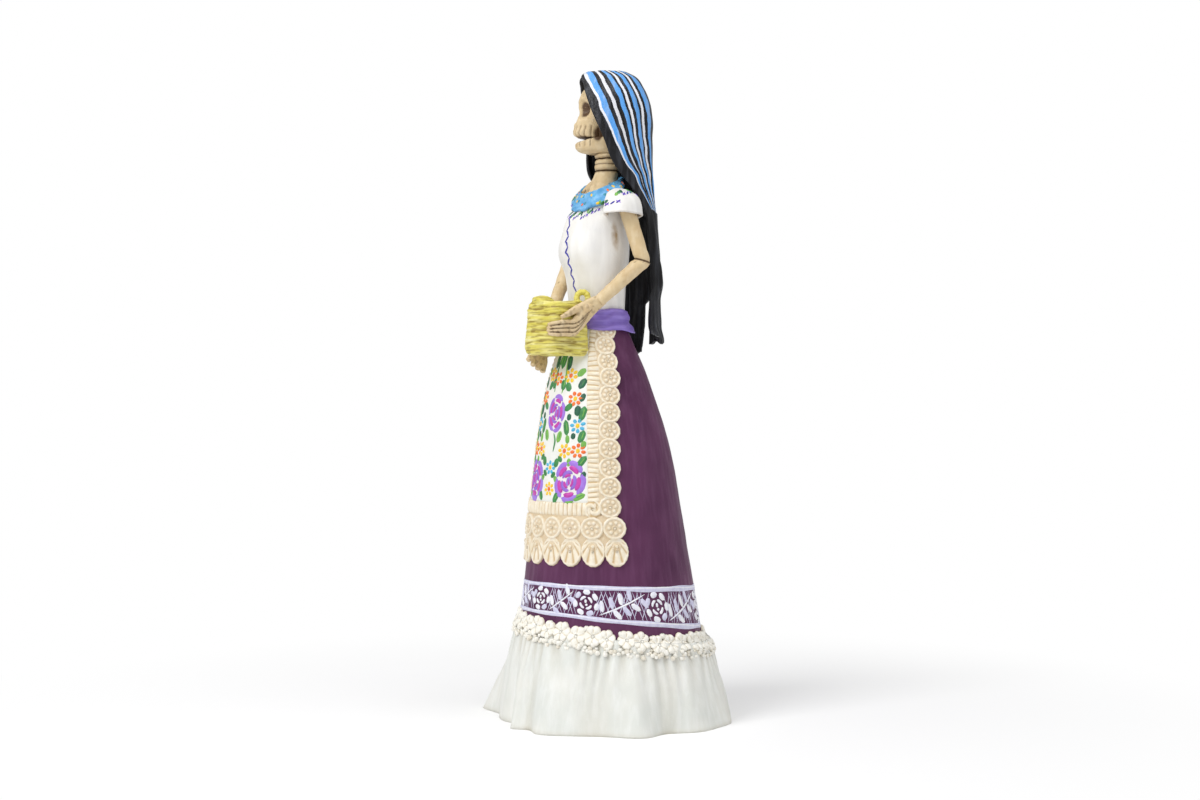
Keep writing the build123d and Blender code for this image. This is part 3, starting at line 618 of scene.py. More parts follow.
for side, name in ((1, "left"), (-1, "right")):
    # Column of medallions on a strip of netting
    lace = Build()
    strip = [121.5 + 9.5 * k for k in range(11)]
    # The netting between the medallions has an even painted shade.
    lace.grid([[skirt_at(side * (border_angle(z) - 0.04 + c * 6.2 / table(SKIRT, z)[0]), z, out)
                for c, out in ((0, 0.9), (0.5, 0.95), (0.96, 0.9), (1, -0.1))][::side] for z in strip],
              [[0.4] * 4 for _ in strip])
    for n in range(11):
        z = 121.5 + 10.9 * n - 0.12 * n * n
        size = 6.15 - 0.05 * n
        angle = side * (border_angle(z) + (size - 0.9) / table(SKIRT, z)[0])
        pad(lace, on_skirt(angle, z, 0.35 * (n % 2)), wavy(size, 13, 0.014, n),
            medallion_height(31 * n + side, size), 13, 72)
    lace.piece(f"apron_{name}_lace_medallions", LACE, "cream_lace", [f"apron_{name}_medallions"])

    # Gathered border: close ribs across a narrow band
    ribs = Build()
    rows, tints = [], []
    steps = int((PANEL_TOP - PANEL_FOOT) / 0.3)
    rng = random.Random(5 + side)
    shifts = [rng.uniform(-0.25, 0.25) for _ in range(60)]
    for k in range(steps + 1):
        z = PANEL_FOOT - 1 + (PANEL_TOP - PANEL_FOOT + 1) * k / steps
        count = (z - PANEL_FOOT) / RIB_PITCH
        phase = count + shifts[int(count)] * math.sin(math.pi * (count % 1))
        ridge = abs(math.sin(math.pi * phase)) ** 0.7
        outer_angle = border_angle(z)
        row, tint = [], []
        for across in (c / 12 for c in range(13)):
            rise, dark = rib_section(ridge, across, "side")
            slant = 0.9 * (across - 0.5) * math.sin(0.7 * count)
            angle = PANEL_ANGLE + (outer_angle - PANEL_ANGLE) * across
            row.append(skirt_at(side * angle, z + slant, rise))
            tint.append(dark)
        rows.append(row[::side])
        tints.append(tint[::side])
    ribs.grid(rows, tints)
    ribs.piece(f"apron_{name}_gathers", LACE, "cream_lace", [f"apron_{name}_border"])

# Foot border and its corner knots
foot = Build()
rows, tints = [], []
corner = border_angle(RIB_FOOT) - 0.02
for k in range(361):
    angle = -corner + 2 * corner * k / 360
    count = angle / math.radians(3.75)
    ridge = abs(math.cos(math.pi * count)) ** 0.7
    row, tint = [], []
    for up in (c / 10 for c in range(10, -1, -1)):
        rise, dark = rib_section(ridge, up, "foot")
        row.append(skirt_at(angle + 0.006 * math.sin(3 * count) * up,
                            RIB_FOOT + 8.2 * up + apron_drop(angle), rise))
        tint.append(dark)
    rows.append(row)
    tints.append(tint)
foot.grid(rows, tints)


def knot_height(x, y, share):
    way, far = math.atan2(y, x), math.hypot(x, y)
    swirl = math.cos(2 * way - 1.6 * far)
    # Painted shade in the grooves of the swirl.
    return 1.7 + 0.5 * swirl * ease(0, 0.4, share) - 0.5 * ease(0.88, 1, share), 0.8 * ease(0.1, -0.8, swirl)


for side in (1, -1):
    pad(foot, on_skirt(side * (corner - 0.07), 120.2), wavy(5.0, 5, 0.04), knot_height, 10, 44)
foot.piece("apron_foot_gathers", LACE, "cream_lace", ["apron_foot_border"])

# Row of rosettes and row of fans
rosettes, fans = Build(), Build()
netting = ((97, -0.1), (98, 0.8), (104, 0.9), (110, 0.9), (117, 0.9), (118, -0.1))
# The netting behind the rosettes has an even painted shade.
rosettes.grid([[skirt_at(math.radians(0.995 * a), z + apron_drop(math.radians(a)), out)
                for a in range(-56, 57, 2)]
               for z, out in netting], [[0.5] * 57] * len(netting))
for n in range(8):
    angle = math.radians(16.0 * (n - 3.5))
    drop = apron_drop(angle)
    pad(rosettes, on_skirt(angle * 0.985, 110.4 + drop, 0.45), wavy(6.35, 14, 0.014, n),
        medallion_height(200 + n, 6.3, 1.6), 13, 72)
    pad(fans, on_skirt(angle, 97.8 + drop), fan_outline, fan_height(n), 18, 96)
rosettes.piece("apron_foot_rosettes", LACE, "cream_lace", ["apron_rosettes"])
fans.piece("apron_foot_fans", LACE, "cream_lace", ["apron_shells"])

# Painted panel, its edges turned in under the borders
panel = Build()
panel.grid([[skirt_at((PANEL_ANGLE + 0.035) * (2 * c / 60 - 1),
                      PANEL_FOOT - 0.5 + (PANEL_TOP - PANEL_FOOT) * k / 80 + apron_drop(0),
                      0.9 if 0 < c < 60 and 0 < k < 80 else -0.1) for c in range(61)] for k in range(81)])
panel.piece("apron_ground", APRON_WHITE, "apron_white", ["apron_panel"])

# Seam trim of pressed petals and beads round the hem
PETAL_PADS = 37


def seam_radius(angle, height):
    """Outermost cloth near the hem's seam."""
    above = height - hem_height(angle)
    cloth = 54.4 + 13.2 * clamp((SEAM_OVERLAP - above) / 52) ** 1.05 + 2.2 * math.cos(angle - SEAM_LEAN)
    return cloth + (table(SKIRT, max(height, 40.5))[0] + 0.3 - cloth) * ease(-1.5, 3, above)


def on_hem(angle, height):
    """Local (across, up, out) frame on the seam."""
    def place(x, y, out):
        return on_ring(angle + x / 54, seam_radius(angle, height + y) + out, height + y)
    return place


def scalloped(radius, lobes, depth, phase):
    """Outline of round petals with sharp notches between them."""
    return lambda way: radius * (1 - depth + depth * abs(math.cos(lobes * way / 2 + phase)) ** 0.6)


def petal_height(petals, phase):
    def height(x, y, share):
        ridge = abs(math.cos(petals * math.atan2(y, x) / 2 + phase))
        rise = 1.1 + 0.8 * ridge**0.7 * ease(0.1, 0.5, share) - 0.6 * ease(0.8, 1, share)
        # Painted shade in the notches between the petals and round the raised middle.
        dark = 0.7 * ease(0.4, 0.05, ridge) * ease(0.15, 0.4, share) * ease(1, 0.7, share)
        if share < 0.25:
            rise = 1.5 + 0.6 * math.sqrt(max(0, 1 - (share / 0.25) ** 2))
            dark = 0.5 * ease(0.16, 0.25, share)
        return rise, dark
    return height


trim = Build()
rng = random.Random(11)


def bead(angle, spread, low, high, out, size, shade_and_wash):
    """Bead of the trim, somewhere near an angle and between two heights over the seam."""
    across, drop = angle + rng.uniform(-spread, spread), rng.uniform(low, high)
    level = hem_height(across) + drop
    radius = seam_radius(across, level) + (rng.uniform(*out) if isinstance(out, tuple) else out)
    trim.ball(on_ring(across, radius, level), rng.uniform(*size), 9, 6, rng.choice(shade_and_wash) if shade_and_wash else 0.0)


for n in range(PETAL_PADS):
    angle = TAU * (n + rng.uniform(-0.12, 0.12)) / PETAL_PADS
    z = hem_height(angle) + 1.4 + rng.uniform(-0.8, 0.8)
    petals, phase = rng.choice((5, 5, 6)), rng.uniform(0, math.pi)
    outline = scalloped(rng.uniform(4.9, 5.6), petals, 0.2, phase)
    pad(trim, on_hem(angle, z), outline, petal_height(petals, phase), 9, 60)
    for _ in range(10):
        bead(angle, 0.085, -6.8, -2.2, (0.2, 1.0), (0.9, 1.6), (0, 0, 0.3))
    for _ in range(2):
        bead(angle, 0.09, 3.6, 5.6, 0.3, (1.0, 1.7), ())
trim.piece("hem_petal_trim", TRIM, "cream_lace", ["hem_rosettes"])

# ---------------------------------------------------------------- shawl

# Angle from the back to the rim at each height, in degrees: the figure's left side, then its right
RIM = {1: [(286, 86.5), (292.6, 91), (299, 97), (305, 104), (309, 107.5), (316, 110.8), (323, 111),
           (330, 113.5), (336.4, 118), (343, 124.5), (349, 132), (355, 140), (360, 148), (364, 160),
           (366.4, 180), (367, 180)],
       -1: [(286, 86.5), (292.6, 91), (299, 98), (303, 110), (306, 121), (309, 127), (316, 127), (323, 124.5),
            (330, 122.5), (336.4, 122), (343, 126), (349, 132), (355, 140), (360, 148), (364, 160),
            (366.4, 180), (367, 180)]}
# Where the plain black rim ends, along the head's own depth, at each height
RIM_BAND = [(286, 24), (289.7, 22.2), (296, 18.8), (301, 16), (306, 14), (311.4, 9.8), (316.3, 7), (322, 4.2),
            (327, 2.1), (332.3, 0), (338, -2.8), (343, -4.9), (348, -6.6), (353, -9), (358.2, -11.6),
            (365, -14.2), (367, -15)]
LOOK = Vector((math.cos(math.radians(50)), math.sin(math.radians(50)), 0))
CLOTH = 1.7


def stripe_place(psi, height):
    """Place across the stripes: below 0 on the black rim, 1 at the back."""
    here = round_point(SHAWL, math.pi - abs(psi), height).dot(LOOK)
    back = max(round_point(SHAWL, math.pi - math.radians(a), height).dot(LOOK) for a in range(0, 60, 4))
    rim = table(RIM_BAND, height)[0] + max(0.0, 288 - height)
    return (here - rim) / max(2.0, back - rim)


def shawl_at(psi, height, out=0.0):
    """Point of the shawl at an angle from the back, towards the figure's left."""
    low = ease(292, 262, height)
    spot = (22 * psi, 0, 0.25 * height)
    s = stripe_place(psi, height)
    swell = 0.5 * math.cos(TAU * 4.6 * s) * ease(0, 0.15, s) * ease(366, 356, height) * ease(288, 300, height)
    swell += 0.8 * ease(-0.02, -0.14, s) * (1 - low) * ease(366, 358, height)
    swell += low * (1.1 * math.cos(9 * psi + 0.03 * height) + 0.9 * wobble(spot, 5, 4)
                    + 0.5 * math.cos(23 * psi - 0.04 * height))
    swell += 0.35 * wobble((20 * psi, 0, height), 8, 5)
    swell += 1.5 * ease(2.2, 2.75, abs(psi)) * ease(350, 359, height) * ease(366.3, 361, height)
    swell += (1.6 * ease(232, 214, height)
              - 2.6 * ease(248, 236, height) * ease(213, 222, height)) * ease(0.2, 0.9, psi)
    return on_column(SHAWL, math.pi - psi, height, out + swell)[0]


def cloth_band(height, low, high, tint, outer_count=130, inner_count=50):
    """One closed ring of the cloth's section between two angles.

    height is a number, or a function of the angle.
    """
    level = height if callable(height) else lambda psi: height
    row, tints = [], []
    for k in range(outer_count + 1):
        psi = low + (high - low) * k / outer_count
        row.append(shawl_at(psi, level(psi)))
        tints.append(tint(psi, level(psi)))
    for end, step in ((high, 0.01), (low, -0.01)):
        top, bottom = shawl_at(end, level(end)), shawl_at(end, level(end), -CLOTH)
        way = (shawl_at(end + step, level(end)) - top).normalized() * ease(math.pi, 2.85, abs(end))
        roll = [(top + bottom) / 2 + (top - bottom) * 0.62 * math.cos(f) + way * 1.05 * math.sin(f)
                for f in (0.5, 1.0, 1.57, 2.1, 2.6)]
        row += roll if step > 0 else roll[::-1]
        tints += [-1.0] * 5
        if step > 0:
            for k in range(inner_count + 1):
                psi = high + (low - high) * k / inner_count
                row.append(shawl_at(psi, level(psi), -CLOTH))
                tints.append(-1.0)
    return row, tints


hood = Build()
rows, tints = [], []
for k in range(86):
    z = 288 + 78.4 * (1 - (1 - k / 85) ** 1.35)
    low, high = (math.radians(table(RIM[side], z)[0]) for side in (-1, 1))
    row, tint = cloth_band(z, -min(low, math.pi), min(high, math.pi), stripe_place)
    rows.append(row)
    tints.append(tint)
centre = Vector((-0.9, -1.4, 0))
for share in (0.8, 0.55, 0.3, 0.02):
    rows.append([Vector((*(centre.xy + (p.xy - centre.xy) * share), p.z + 0.5 * (1 - share * share)))
                 for p in rows[85]])
    tints.append(tints[85])
hood.grid(rows, tints, loop=True)
hood.grid([rows[0][:131], [rows[0][186 - round(k * 50 / 130)] for k in range(131)]], [[-1.0] * 131] * 2)
hood.piece("shawl_head_cloth", SHAWL_STRIPES, "shawl", ["shawl_hood"])


def back_angle(height, x):
    """Angle from the back at which the shawl stands at x."""
    return min((math.radians(a / 2) for a in range(-120, 121)),
               key=lambda a: abs(round_point(SHAWL, math.pi - a, height).x - x))


TAIL_RIM = [(200, 90), (225, 88), (250, 83), (270, 80), (282, 83), (288, 87.3), (290, 88.6)]
for side, name, foot_height in ((1, "left", 212.8), (-1, "right", 203.6)):
    tail = Build()
    rows, tints = [], []
    for k in range(61):
        share = k / 60
        z = foot_height + (288 - foot_height) * share
        split = ease(239, 234, z)
        inner_edge = back_angle(z, 3.2 + 1.4 * split if side > 0 else 3.1 - 7.6 * split)
        rim = math.radians(table(TAIL_RIM, z)[0]) - 0.10 * ease(212, 203, z)

        def level(psi, z=z, share=share):
            if side > 0:
                ragged = 4.5 * ease(0.9, 1.55, abs(psi)) + 1.0 * math.cos(11 * psi)
            else:
                ragged = (5.0 * ease(0.5, 0.12, abs(psi)) + 4.0 * ease(1.0, 1.5, abs(psi))
                          + 0.8 * math.cos(9 * psi))
            return z + ragged * (1 - share) ** 3
        low, high = (inner_edge, rim) if side > 0 else (-rim, inner_edge)
        row, tint = cloth_band(level, low, high, stripe_place, 70, 40)
        rows.append(row)
        tints.append(tint)
    tail.grid(rows, tints, loop=True)
    for row in (rows[0], rows[-1]):
        inner_side = row[76:117]
        tail.grid([row[:71], [inner_side[40 - round(k * 40 / 70)] for k in range(71)]], [[-1.0] * 71] * 2)
    make_normals_outward(tail.piece(f"shawl_{name}_fall", SHAWL_STRIPES, "shawl", [f"shawl_{name}_tail"]))

# ---------------------------------------------------------------- skull and jaw

HEAD_SPIN = Matrix.Rotation(math.radians(-HEAD_TURN), 3, "Z")
AROUND = (0, 15, 30, 50, 75, 110, 180)
# Radii of the skull at these angles from its face, at each height
SKULL = [(328.2, 18.4, 17.6, 14.8, 10.6, 7.4, 8, 9), (329.2, 20.2, 19.0, 15.6, 11.2, 8.0, 8.4, 10),
         (331.2, 21.2, 19.8, 16.3, 11.6, 8.4, 9, 11), (334, 20.6, 19.4, 16.4, 12.4, 9.4, 10.4, 13),
         (336.8, 20.4, 19.3, 16.6, 13.6, 11.2, 12.2, 16), (339.4, 19.3, 18.6, 16.9, 15.0, 13.2, 13, 17.5),
         (342.4, 17.4, 17.5, 16.8, 15.2, 13.6, 14, 18.4), (346.6, 17.9, 17.7, 17.0, 15.2, 13.8, 14, 19),
         (351.6, 17.2, 17.0, 16.4, 14.8, 13.4, 13.8, 18.6), (356.4, 14.6, 14.4, 13.8, 12.6, 11.8, 12, 16),
         (360.4, 10.4, 10.2, 9.8, 9.2, 8.8, 9, 11), (363, 5, 5, 4.8, 4.6, 4.4, 4.5, 6)]
JAW = [(319.7, 11.0, 10.8, 10.0, 9.0, 8.2, 7.6, 7), (320.6, 15.4, 14.8, 12.8, 10.6, 9.2, 8.2, 7.6),
       (322.2, 18.2, 17.2, 14.8, 11.8, 9.8, 8.6, 8), (324.2, 19.6, 18.5, 15.6, 12.0, 9.9, 8.8, 8),
       (325.8, 19.9, 18.8, 15.6, 11.8, 9.8, 8.6, 8), (326.5, 19.0, 18.0, 14.9, 11.2, 9.2, 8.2, 7.6)]


def bump(angle, height, at, level, across, up):
    """1 at a place on the skull, falling to 0 at its elliptical edge; angles in degrees."""
    far = ((math.degrees(angle) - at) / across) ** 2 + ((height - level) / up) ** 2
    return ease(1, 0, math.sqrt(far))


def skull_at(angle, height):
    """Radius of the skull and its darkening, at an angle from its face: the dark paint of its sockets, nose
    and teeth lines with painted shade in them, and painted shade in the cheek's hollow and along its foot.
    """
    away = abs(angle)
    radius = table(list(zip(AROUND, table(SKULL, height))), math.degrees(away))[0]
    socket = bump(away, height, 23, 344.0, 22, 6.6)
    nose = max(bump(away, height, 3.5, 338.4, 7, 2.6), bump(away, height, 1, 340.6, 5, 2.4))
    hollow = bump(away, height, 50, 329.8, 21, 7.5)
    brow = bump(away, height, 22, 350.2, 22, 3.2)
    cheek = bump(away, height, 44, 338.6, 17, 3.4)
    radius += -4.4 * socket - 2.4 * nose - 2.8 * hollow + 0.9 * brow + 1.1 * cheek
    # The sockets and nose hole, and the teeth lines below, get their dark paint with painted shade in them;
    # the cheek's hollow gets painted shade.
    shade_and_wash = ease(0.16, 0.5, socket) + 0.9 * ease(0.2, 0.7, nose) + ease(0.2, 0.7, hollow)
    for groove in (0, 8.5, 16.5, 25, 34.5, 45):
        near = ease(1.9, 0, abs(math.degrees(away) - groove - 0.8 * (height - 330)) * 0.9)
        near *= ease(335.8 - 0.02 * groove, 334.4, height)
        radius -= 0.75 * near
        shade_and_wash += 0.5 * near
    # Painted shade along the skull's foot, over the jaw.
    shade_and_wash += 0.5 * ease(329.0, 328.3, height)
    radius += 0.18 * wobble((radius * math.sin(angle), radius * math.cos(angle), height), 3.2, 6)
    return radius, clamp(shade_and_wash)


def jaw_at(angle, height):
    away = abs(angle)
    radius = table(list(zip(AROUND, table(JAW, height))), math.degrees(away))[0]
    # Painted shade along the jaw's top under the skull and in the cheek's hollow; the teeth lines below take
    # their dark paint with painted shade in them.
    shade_and_wash = 0.25 * ease(326.1, 326.5, height) + ease(0.1, 0.6, bump(away, height, 50, 327.5, 17, 4.5))
    for groove in (0, 8, 16, 25, 35):
        near = ease(1.8, 0, abs(math.degrees(away) - groove) * 0.9) * ease(322.6, 323.6, height)
        radius -= 0.6 * near
        shade_and_wash += 0.45 * near
    radius += 1.4 * ease(45, 8, math.degrees(away)) * ease(325.4, 321, height)
    radius += 0.2 * wobble((radius * math.sin(angle), radius * math.cos(angle), height), 3.2, 7)
    return radius, clamp(shade_and_wash)


def on_head(angle, radius, height):
    return HEAD_SPIN @ Vector((radius * math.sin(angle), -radius * math.cos(angle), height))


def skull_lift(front, height):
    """How far the teeth line rises towards the face; front is the distance before the head's axis."""
    return 0.8 * ease(9, 18, front) * ease(333, 328.5, height)


def jaw_lift(front, height):
    return (min(0.16 * (20 - front), 2.0) - 0.7 * ease(8, 18, front)) * ease(322, 326, height)


HEAD_SECTORS = 380
for name, node, shape, rise, low, high, count, ends, foot_shade in (
        ("painted_skull", "skull", skull_at, skull_lift, 328.2, 363, 84, (328.6, 363.3), 0.75),
        ("painted_jaw", "lower_jaw", jaw_at, jaw_lift, 319.7, 326.5, 24, (319.5, 326.4), 0.3)):
    rows, tints = [], []
    for k in range(count):
        z = low + (high - low) * k / (count - 1)
        row, tint = [], []
        for a in (angle - math.pi for angle in angles(HEAD_SECTORS)):
            radius, shade_and_wash = shape(a, z)
            row.append(on_head(a, radius, z + rise(radius * math.cos(a), z)))
            tint.append(shade_and_wash)
        rows.append(row)
        tints.append(tint)

    def rings(row, lift):
        """Rings that close an end of the head piece, from its edge to its middle."""
        return [[Vector((*(p.xy * share), p.z + lift * (1 - share))) for p in row]
                for share in (0.93, 0.6, 0.2, 0.01)]
    bone = Build()
    # Painted shade on the rings that close each piece: under the skull and the jaw, and on their tops, which
    # lie under the hood and under the skull.
    bone.grid(rings(rows[0], ends[0] - low)[::-1] + rows + rings(rows[-1], ends[1] - high),
              [[foot_shade] * HEAD_SECTORS] * 4 + tints + [[0.3] * HEAD_SECTORS] * 4, loop=True)
    bone.piece(name, BONE, "bone", [node])

# ---------------------------------------------------------------- neck and collarbones

NECK = Vector((0, -2.2, 0))


def turned_piece(name, node, profile, seed):
    """Closed turned bone on the neck's axis: profile of (height, radius, painted shade)."""
    build = Build()
    rows = []
    for height, radius, _ in profile:
        row = []
        for a in angles(72):
            uneven = 0.25 * wobble((6 * math.sin(a), 6 * math.cos(a), height), 3, seed) if radius > 1 else 0
            row.append(NECK + on_ring(a, radius + uneven, height + uneven))
        rows.append(row)
    build.grid(rows, [[shade_and_wash] * 72 for _, _, shade_and_wash in profile], loop=True)
    build.piece(name, BONE, "bone", [node])


# Painted shade at the ends of each piece, where they meet, and in the groove round the vertebra's middle.
turned_piece("painted_vertebra", "neck_vertebra",
             [(309.8, 0.1, 1), (309.8, 6.0, 0.9), (310.4, 6.8, 0.3), (312, 7.1, 0), (313, 6.9, 0.1),
              (313.5, 6.5, 0.7), (314.1, 6.8, 0.1), (315.2, 6.9, 0), (316.2, 6.2, 0.3), (316.5, 5.2, 0.8),
              (316.5, 0.1, 1)], 8)
turned_piece("painted_neck_disc", "neck_disc",
             [(316.6, 0.1, 1), (316.6, 5.2, 0.9), (317.2, 6.6, 0.4), (318.2, 7.0, 0.05), (319.2, 6.8, 0.2),
              (319.9, 5.6, 0.8), (319.9, 0.1, 1)], 9)

CHEST = [(286, 16.9, 12.2, 0, -9.2, 16), (297, 12.8, 9.8, 0, -7.4, 18), (303, 8.4, 7.4, 0, -4.8, 18),
         (309.5, 6.5, 6.5, 0, -2.2, 18)]
chest = Build()
rows, tints = [], []
for k in range(48):
    z = 286.5 + 22.9 * k / 47
    row, tint = [], []
    for a in angles(220):
        if a > math.pi:
            a -= TAU
        notch = ease(0.34, 0, abs(a)) * ease(306, 298, z)
        ridge = ease(0.26, 0, abs(abs(a) - 0.55 - 0.03 * (300 - z))) * ease(292, 297, z) * ease(306, 301, z)
        hole = ease(1, 0, math.hypot((abs(a) - 0.28) / 0.13, (z - 298.2) / 1.7))
        rib = 0.25 * math.cos(1.7 * z) * ease(300, 296, z)
        grain = 0.2 * wobble((9 * math.sin(a), 9 * math.cos(a), z), 3, 10)
        row.append(on_column(CHEST, a, z, 1.0 * ridge - 1.5 * notch - 1.6 * hole + rib + grain)[0])
        # Painted shade in the notch, in the hollows over the collarbones and at the top under the vertebra.
        tint.append(clamp(0.35 * notch + 1.0 * ease(0.1, 0.5, hole) + 0.7 * ease(308.4, 309.4, z)))
    rows.append(row)
    tints.append(tint)
# The top closed in under the vertebra, with painted shade.
for share in (0.8, 0.4, 0.01):
    rows.append([Vector((*(NECK.xy + (p.xy - NECK.xy) * share), 309.5)) for p in rows[47]])
    tints.append([0.8] * 220)
chest.grid(rows, tints, loop=True)
chest.piece("painted_collarbone", BONE, "bone", ["collarbone"])

# ---------------------------------------------------------------- blouse, sleeves, collar and sash


def neckline(y):
    return 295.5 + (y + 19.5) * math.tan(math.radians(24))


def collar_foot(y):
    return 285 + (y + 27) * math.tan(math.radians(29))


def level_on_torso(angle, line, out=0.0):
    """Height at which a line, given by depth, crosses the torso at an angle."""
    z = 295
    for _ in range(12):
        z = clamp(0.5 * z + 0.5 * line(torso_at(angle, z, out).y), 270, 307.5)
    return z


def torso_at(angle, height, out=0.0):
    away = from_front(angle)
    bust = ease(1, 0, math.hypot((away - 0.5) / 0.62, (height - 263) / 14))
    crease = ease(0.24, 0, away) * ease(250, 262, height) * ease(280, 268, height)
    point, way = on_column(TORSO, angle, height, out)
    swell = 1.5 * bust - 0.5 * crease + 0.3 * wobble(point, 14, 12) + 0.1 * wobble(point, 4, 13)
    rib = 0.28 * math.cos(15 * angle + 1) * ease(246, 232, height)
    swell += rib - 2.3 * ease(1.1, 0.3, away) * ease(282, 291, height)
    return point + way * swell


blouse = Build()
rows, tints = [], []
BLOUSE_FOOT, BLOUSE_SECTORS = 222.1, 240
tops = [level_on_torso(a, neckline) for a in angles(BLOUSE_SECTORS)]
for k in range(101):
    row, tint = [], []
    for a, top in zip(angles(BLOUSE_SECTORS), tops):
        z = BLOUSE_FOOT + (top - BLOUSE_FOOT) * k / 100
        row.append(torso_at(a, z, -0.6 * ease(97, 100, k)))
        # Painted shade under the arm, made uneven, and at the blouse's foot under the sash.
        armpit = ease(1, 0.2, math.hypot((from_front(a) - 1.6) / 0.17, (z - 271) / 10))
        armpit = armpit * (0.65 + 0.5 * wobble((20 * a, 0, z), 2.5, 3))
        tint.append(clamp(0.95 * armpit + 0.3 * ease(228, 223, z)))
    rows.append(row)
    tints.append(tint)
# The neckline turned in under the collar, with an even painted shade.
for drop in (0.3, 3, 8):
    rows.append([torso_at(a, top - drop, -1.6) for a, top in zip(angles(BLOUSE_SECTORS), tops)])
    tints.append([0.4] * BLOUSE_SECTORS)
blouse.grid(rows, tints, loop=True)
blouse.piece("blouse_cloth", BLOUSE_WHITE, "white_cloth", ["blouse"])

SLEEVES = {"left": [(280.6, 9.2, 12, 25.6, -12, 0), (284, 8.9, 11.8, 25.2, -12, 4),
                    (289, 8.9, 10.8, 24, -11, 8), (293, 8.4, 9.4, 21.8, -9.8, 12),
                    (295.6, 7, 7.4, 19, -8.8, 14), (297.6, 4.4, 4.6, 16.6, -8, 14),
                    (298.4, 2, 2.2, 15.6, -7.8, 14)],
           "right": [(280.6, 7.8, 10.2, -22.6, 2.6, 14), (284, 7.7, 10, -22.2, 2.6, 14),
                     (289, 7.6, 9.4, -21.2, 2.3, 14), (293, 7.4, 8.6, -19.8, 2, 14),
                     (295.6, 6.4, 7, -17.6, 1.6, 14), (297.6, 4, 4.4, -15.4, 1.2, 14),
                     (298.4, 1.8, 2, -14.4, 1, 14)]}
SLEEVE_FOOT, SLEEVE_SECTORS = 282.4, 120
sleeve_builds = []
for side, name in ((1, "left"), (-1, "right")):
    rows, tints = [], []
    column = SLEEVES[name]

    def sleeve_at(angle, height, out):
        point, way = on_column(column, angle, height, out)
        return point + way * (0.3 * wobble(point, 9, 14 + side)
                              + 0.35 * math.cos(5 * angle + 1) * ease(296, 284, height))

    # Rows from inside the hem round its edge and up the outside: painted shade inside the sleeve and along
    # its hem's edge, fading just above it.
    for share, out in ((0.45, -1.7), (0.3, -1.7), (0.15, -1.6), (0.03, -1.5), (0.0, -1.2), (-0.02, -0.6),
                       (0.0, 0.0)):
        rows.append([sleeve_at(a, SLEEVE_FOOT + 13 * share + 1.2 * math.cos(a - side * 0.9), out)
                     for a in angles(SLEEVE_SECTORS)])
        tints.append([0.5 if out < -1.3 else 0.15] * SLEEVE_SECTORS)
    for k in range(1, 38):
        share = k / 37
        rows.append([sleeve_at(a, SLEEVE_FOOT + 16 * share + 1.2 * math.cos(a - side * 0.9) * (1 - share), 0)
                     for a in angles(SLEEVE_SECTORS)])
        tints.append([0.2 * ease(0.06, 0, share)] * SLEEVE_SECTORS)
    middle = Vector((*column[-1][3:5], 298.5))
    rows.append([middle + (p - middle) * 0.02 for p in rows[-1]])
    tints.append([0.0] * SLEEVE_SECTORS)
    sleeve = Build()
    sleeve.grid(rows, tints, loop=True)
    sleeve_builds.append(sleeve)
    sleeve.piece(f"{name}_sleeve_cloth", BLOUSE_WHITE, "white_cloth", [f"{name}_sleeve"])

collar = Build()
rows = []
COLLAR_SECTORS = 260
collar_low = [level_on_torso(a, collar_foot, 1.5) for a in angles(COLLAR_SECTORS)]
collar_high = [level_on_torso(a, neckline, 0.8) for a in angles(COLLAR_SECTORS)]
for share, out in ((0.5, 0.2), (0.0, 0.1), (-0.04, 0.6), (-0.03, 1.3), (0.02, 1.9),
                   *((k / 24, 1.9 - 0.4 * k / 24) for k in range(2, 24)),
                   (1.0, 1.7), (1.04, 1.0), (1.03, 0.1), (0.98, -0.9), (0.85, -1.0)):
    row = []
    for a, low, high in zip(angles(COLLAR_SECTORS), collar_low, collar_high):
        edge = 0.45 * math.cos(14 * a + 2 * math.sin(3 * a)) * (1 - share)
        z = low + (high + 0.8 - low) * share + edge
        sleeve_lift = 1.3 * ease(0.5, 1.1, abs(math.sin(a)) * 1.1) * ease(0.9, 0.2, share)
        rough = 0.35 * wobble((16 * math.sin(a), 16 * math.cos(a), z), 2.2, 15) if out > 1 else 0
        row.append(torso_at(a, z, out + rough + (sleeve_lift if out > 0.5 else 0)))
    rows.append(row)
collar.grid(rows, loop=True, close=True)
collar.piece("collar_cloth", COLLAR_BLUE, "blue_collar", ["collar"])

SASH = [(217.4, 20.8, 20.4, 0, -9.2, 0), (218.6, 20.4, 19.8, 0, -9.3, 0), (224.5, 18.7, 17.9, 0, -9.5, 0),
        (230.5, 19.1, 16.3, 0, -9.7, 0), (232, 18.6, 16, 0, -9.7, 0)]
sash = Build()
rows = []
for height, out in ((223, -1.6), (219.2, -1.6), (218.7, -0.9), (218.6, -0.2),
                    *((218.9 + 0.55 * k, 0.15) for k in range(21)),
                    (230.6, -0.3), (230.6, -1.2), (229.5, -1.8)):
    row = []
    for a in angles(260):
        droop = 0.9 * math.sin(2 * a + 0.5) + 0.5 * math.sin(5 * a)
        z = height + droop * ease(230, 219, height) + 0.5 * math.sin(4 * a + 2) * ease(221, 230, height)
        crease = 0.45 * math.cos(1.25 * height + 1.6 * math.sin(2.2 * a)
                                 + 2 * wobble((20 * a, 0, height), 9, 16))
        flare = 1.3 * ease(224, 218.5, height) * ease(1.1, 1.7, from_front(a))
        row.append(on_column(SASH, a, clamp(z, 217.5, 231.9), out + (crease if out > -0.5 else 0) + flare)[0])
    rows.append(row)
sash.grid(rows, loop=True, close=True)
sash.piece("sash_cloth", VIOLET, "violet_sash", ["sash"])

# ---------------------------------------------------------------- arms and hands


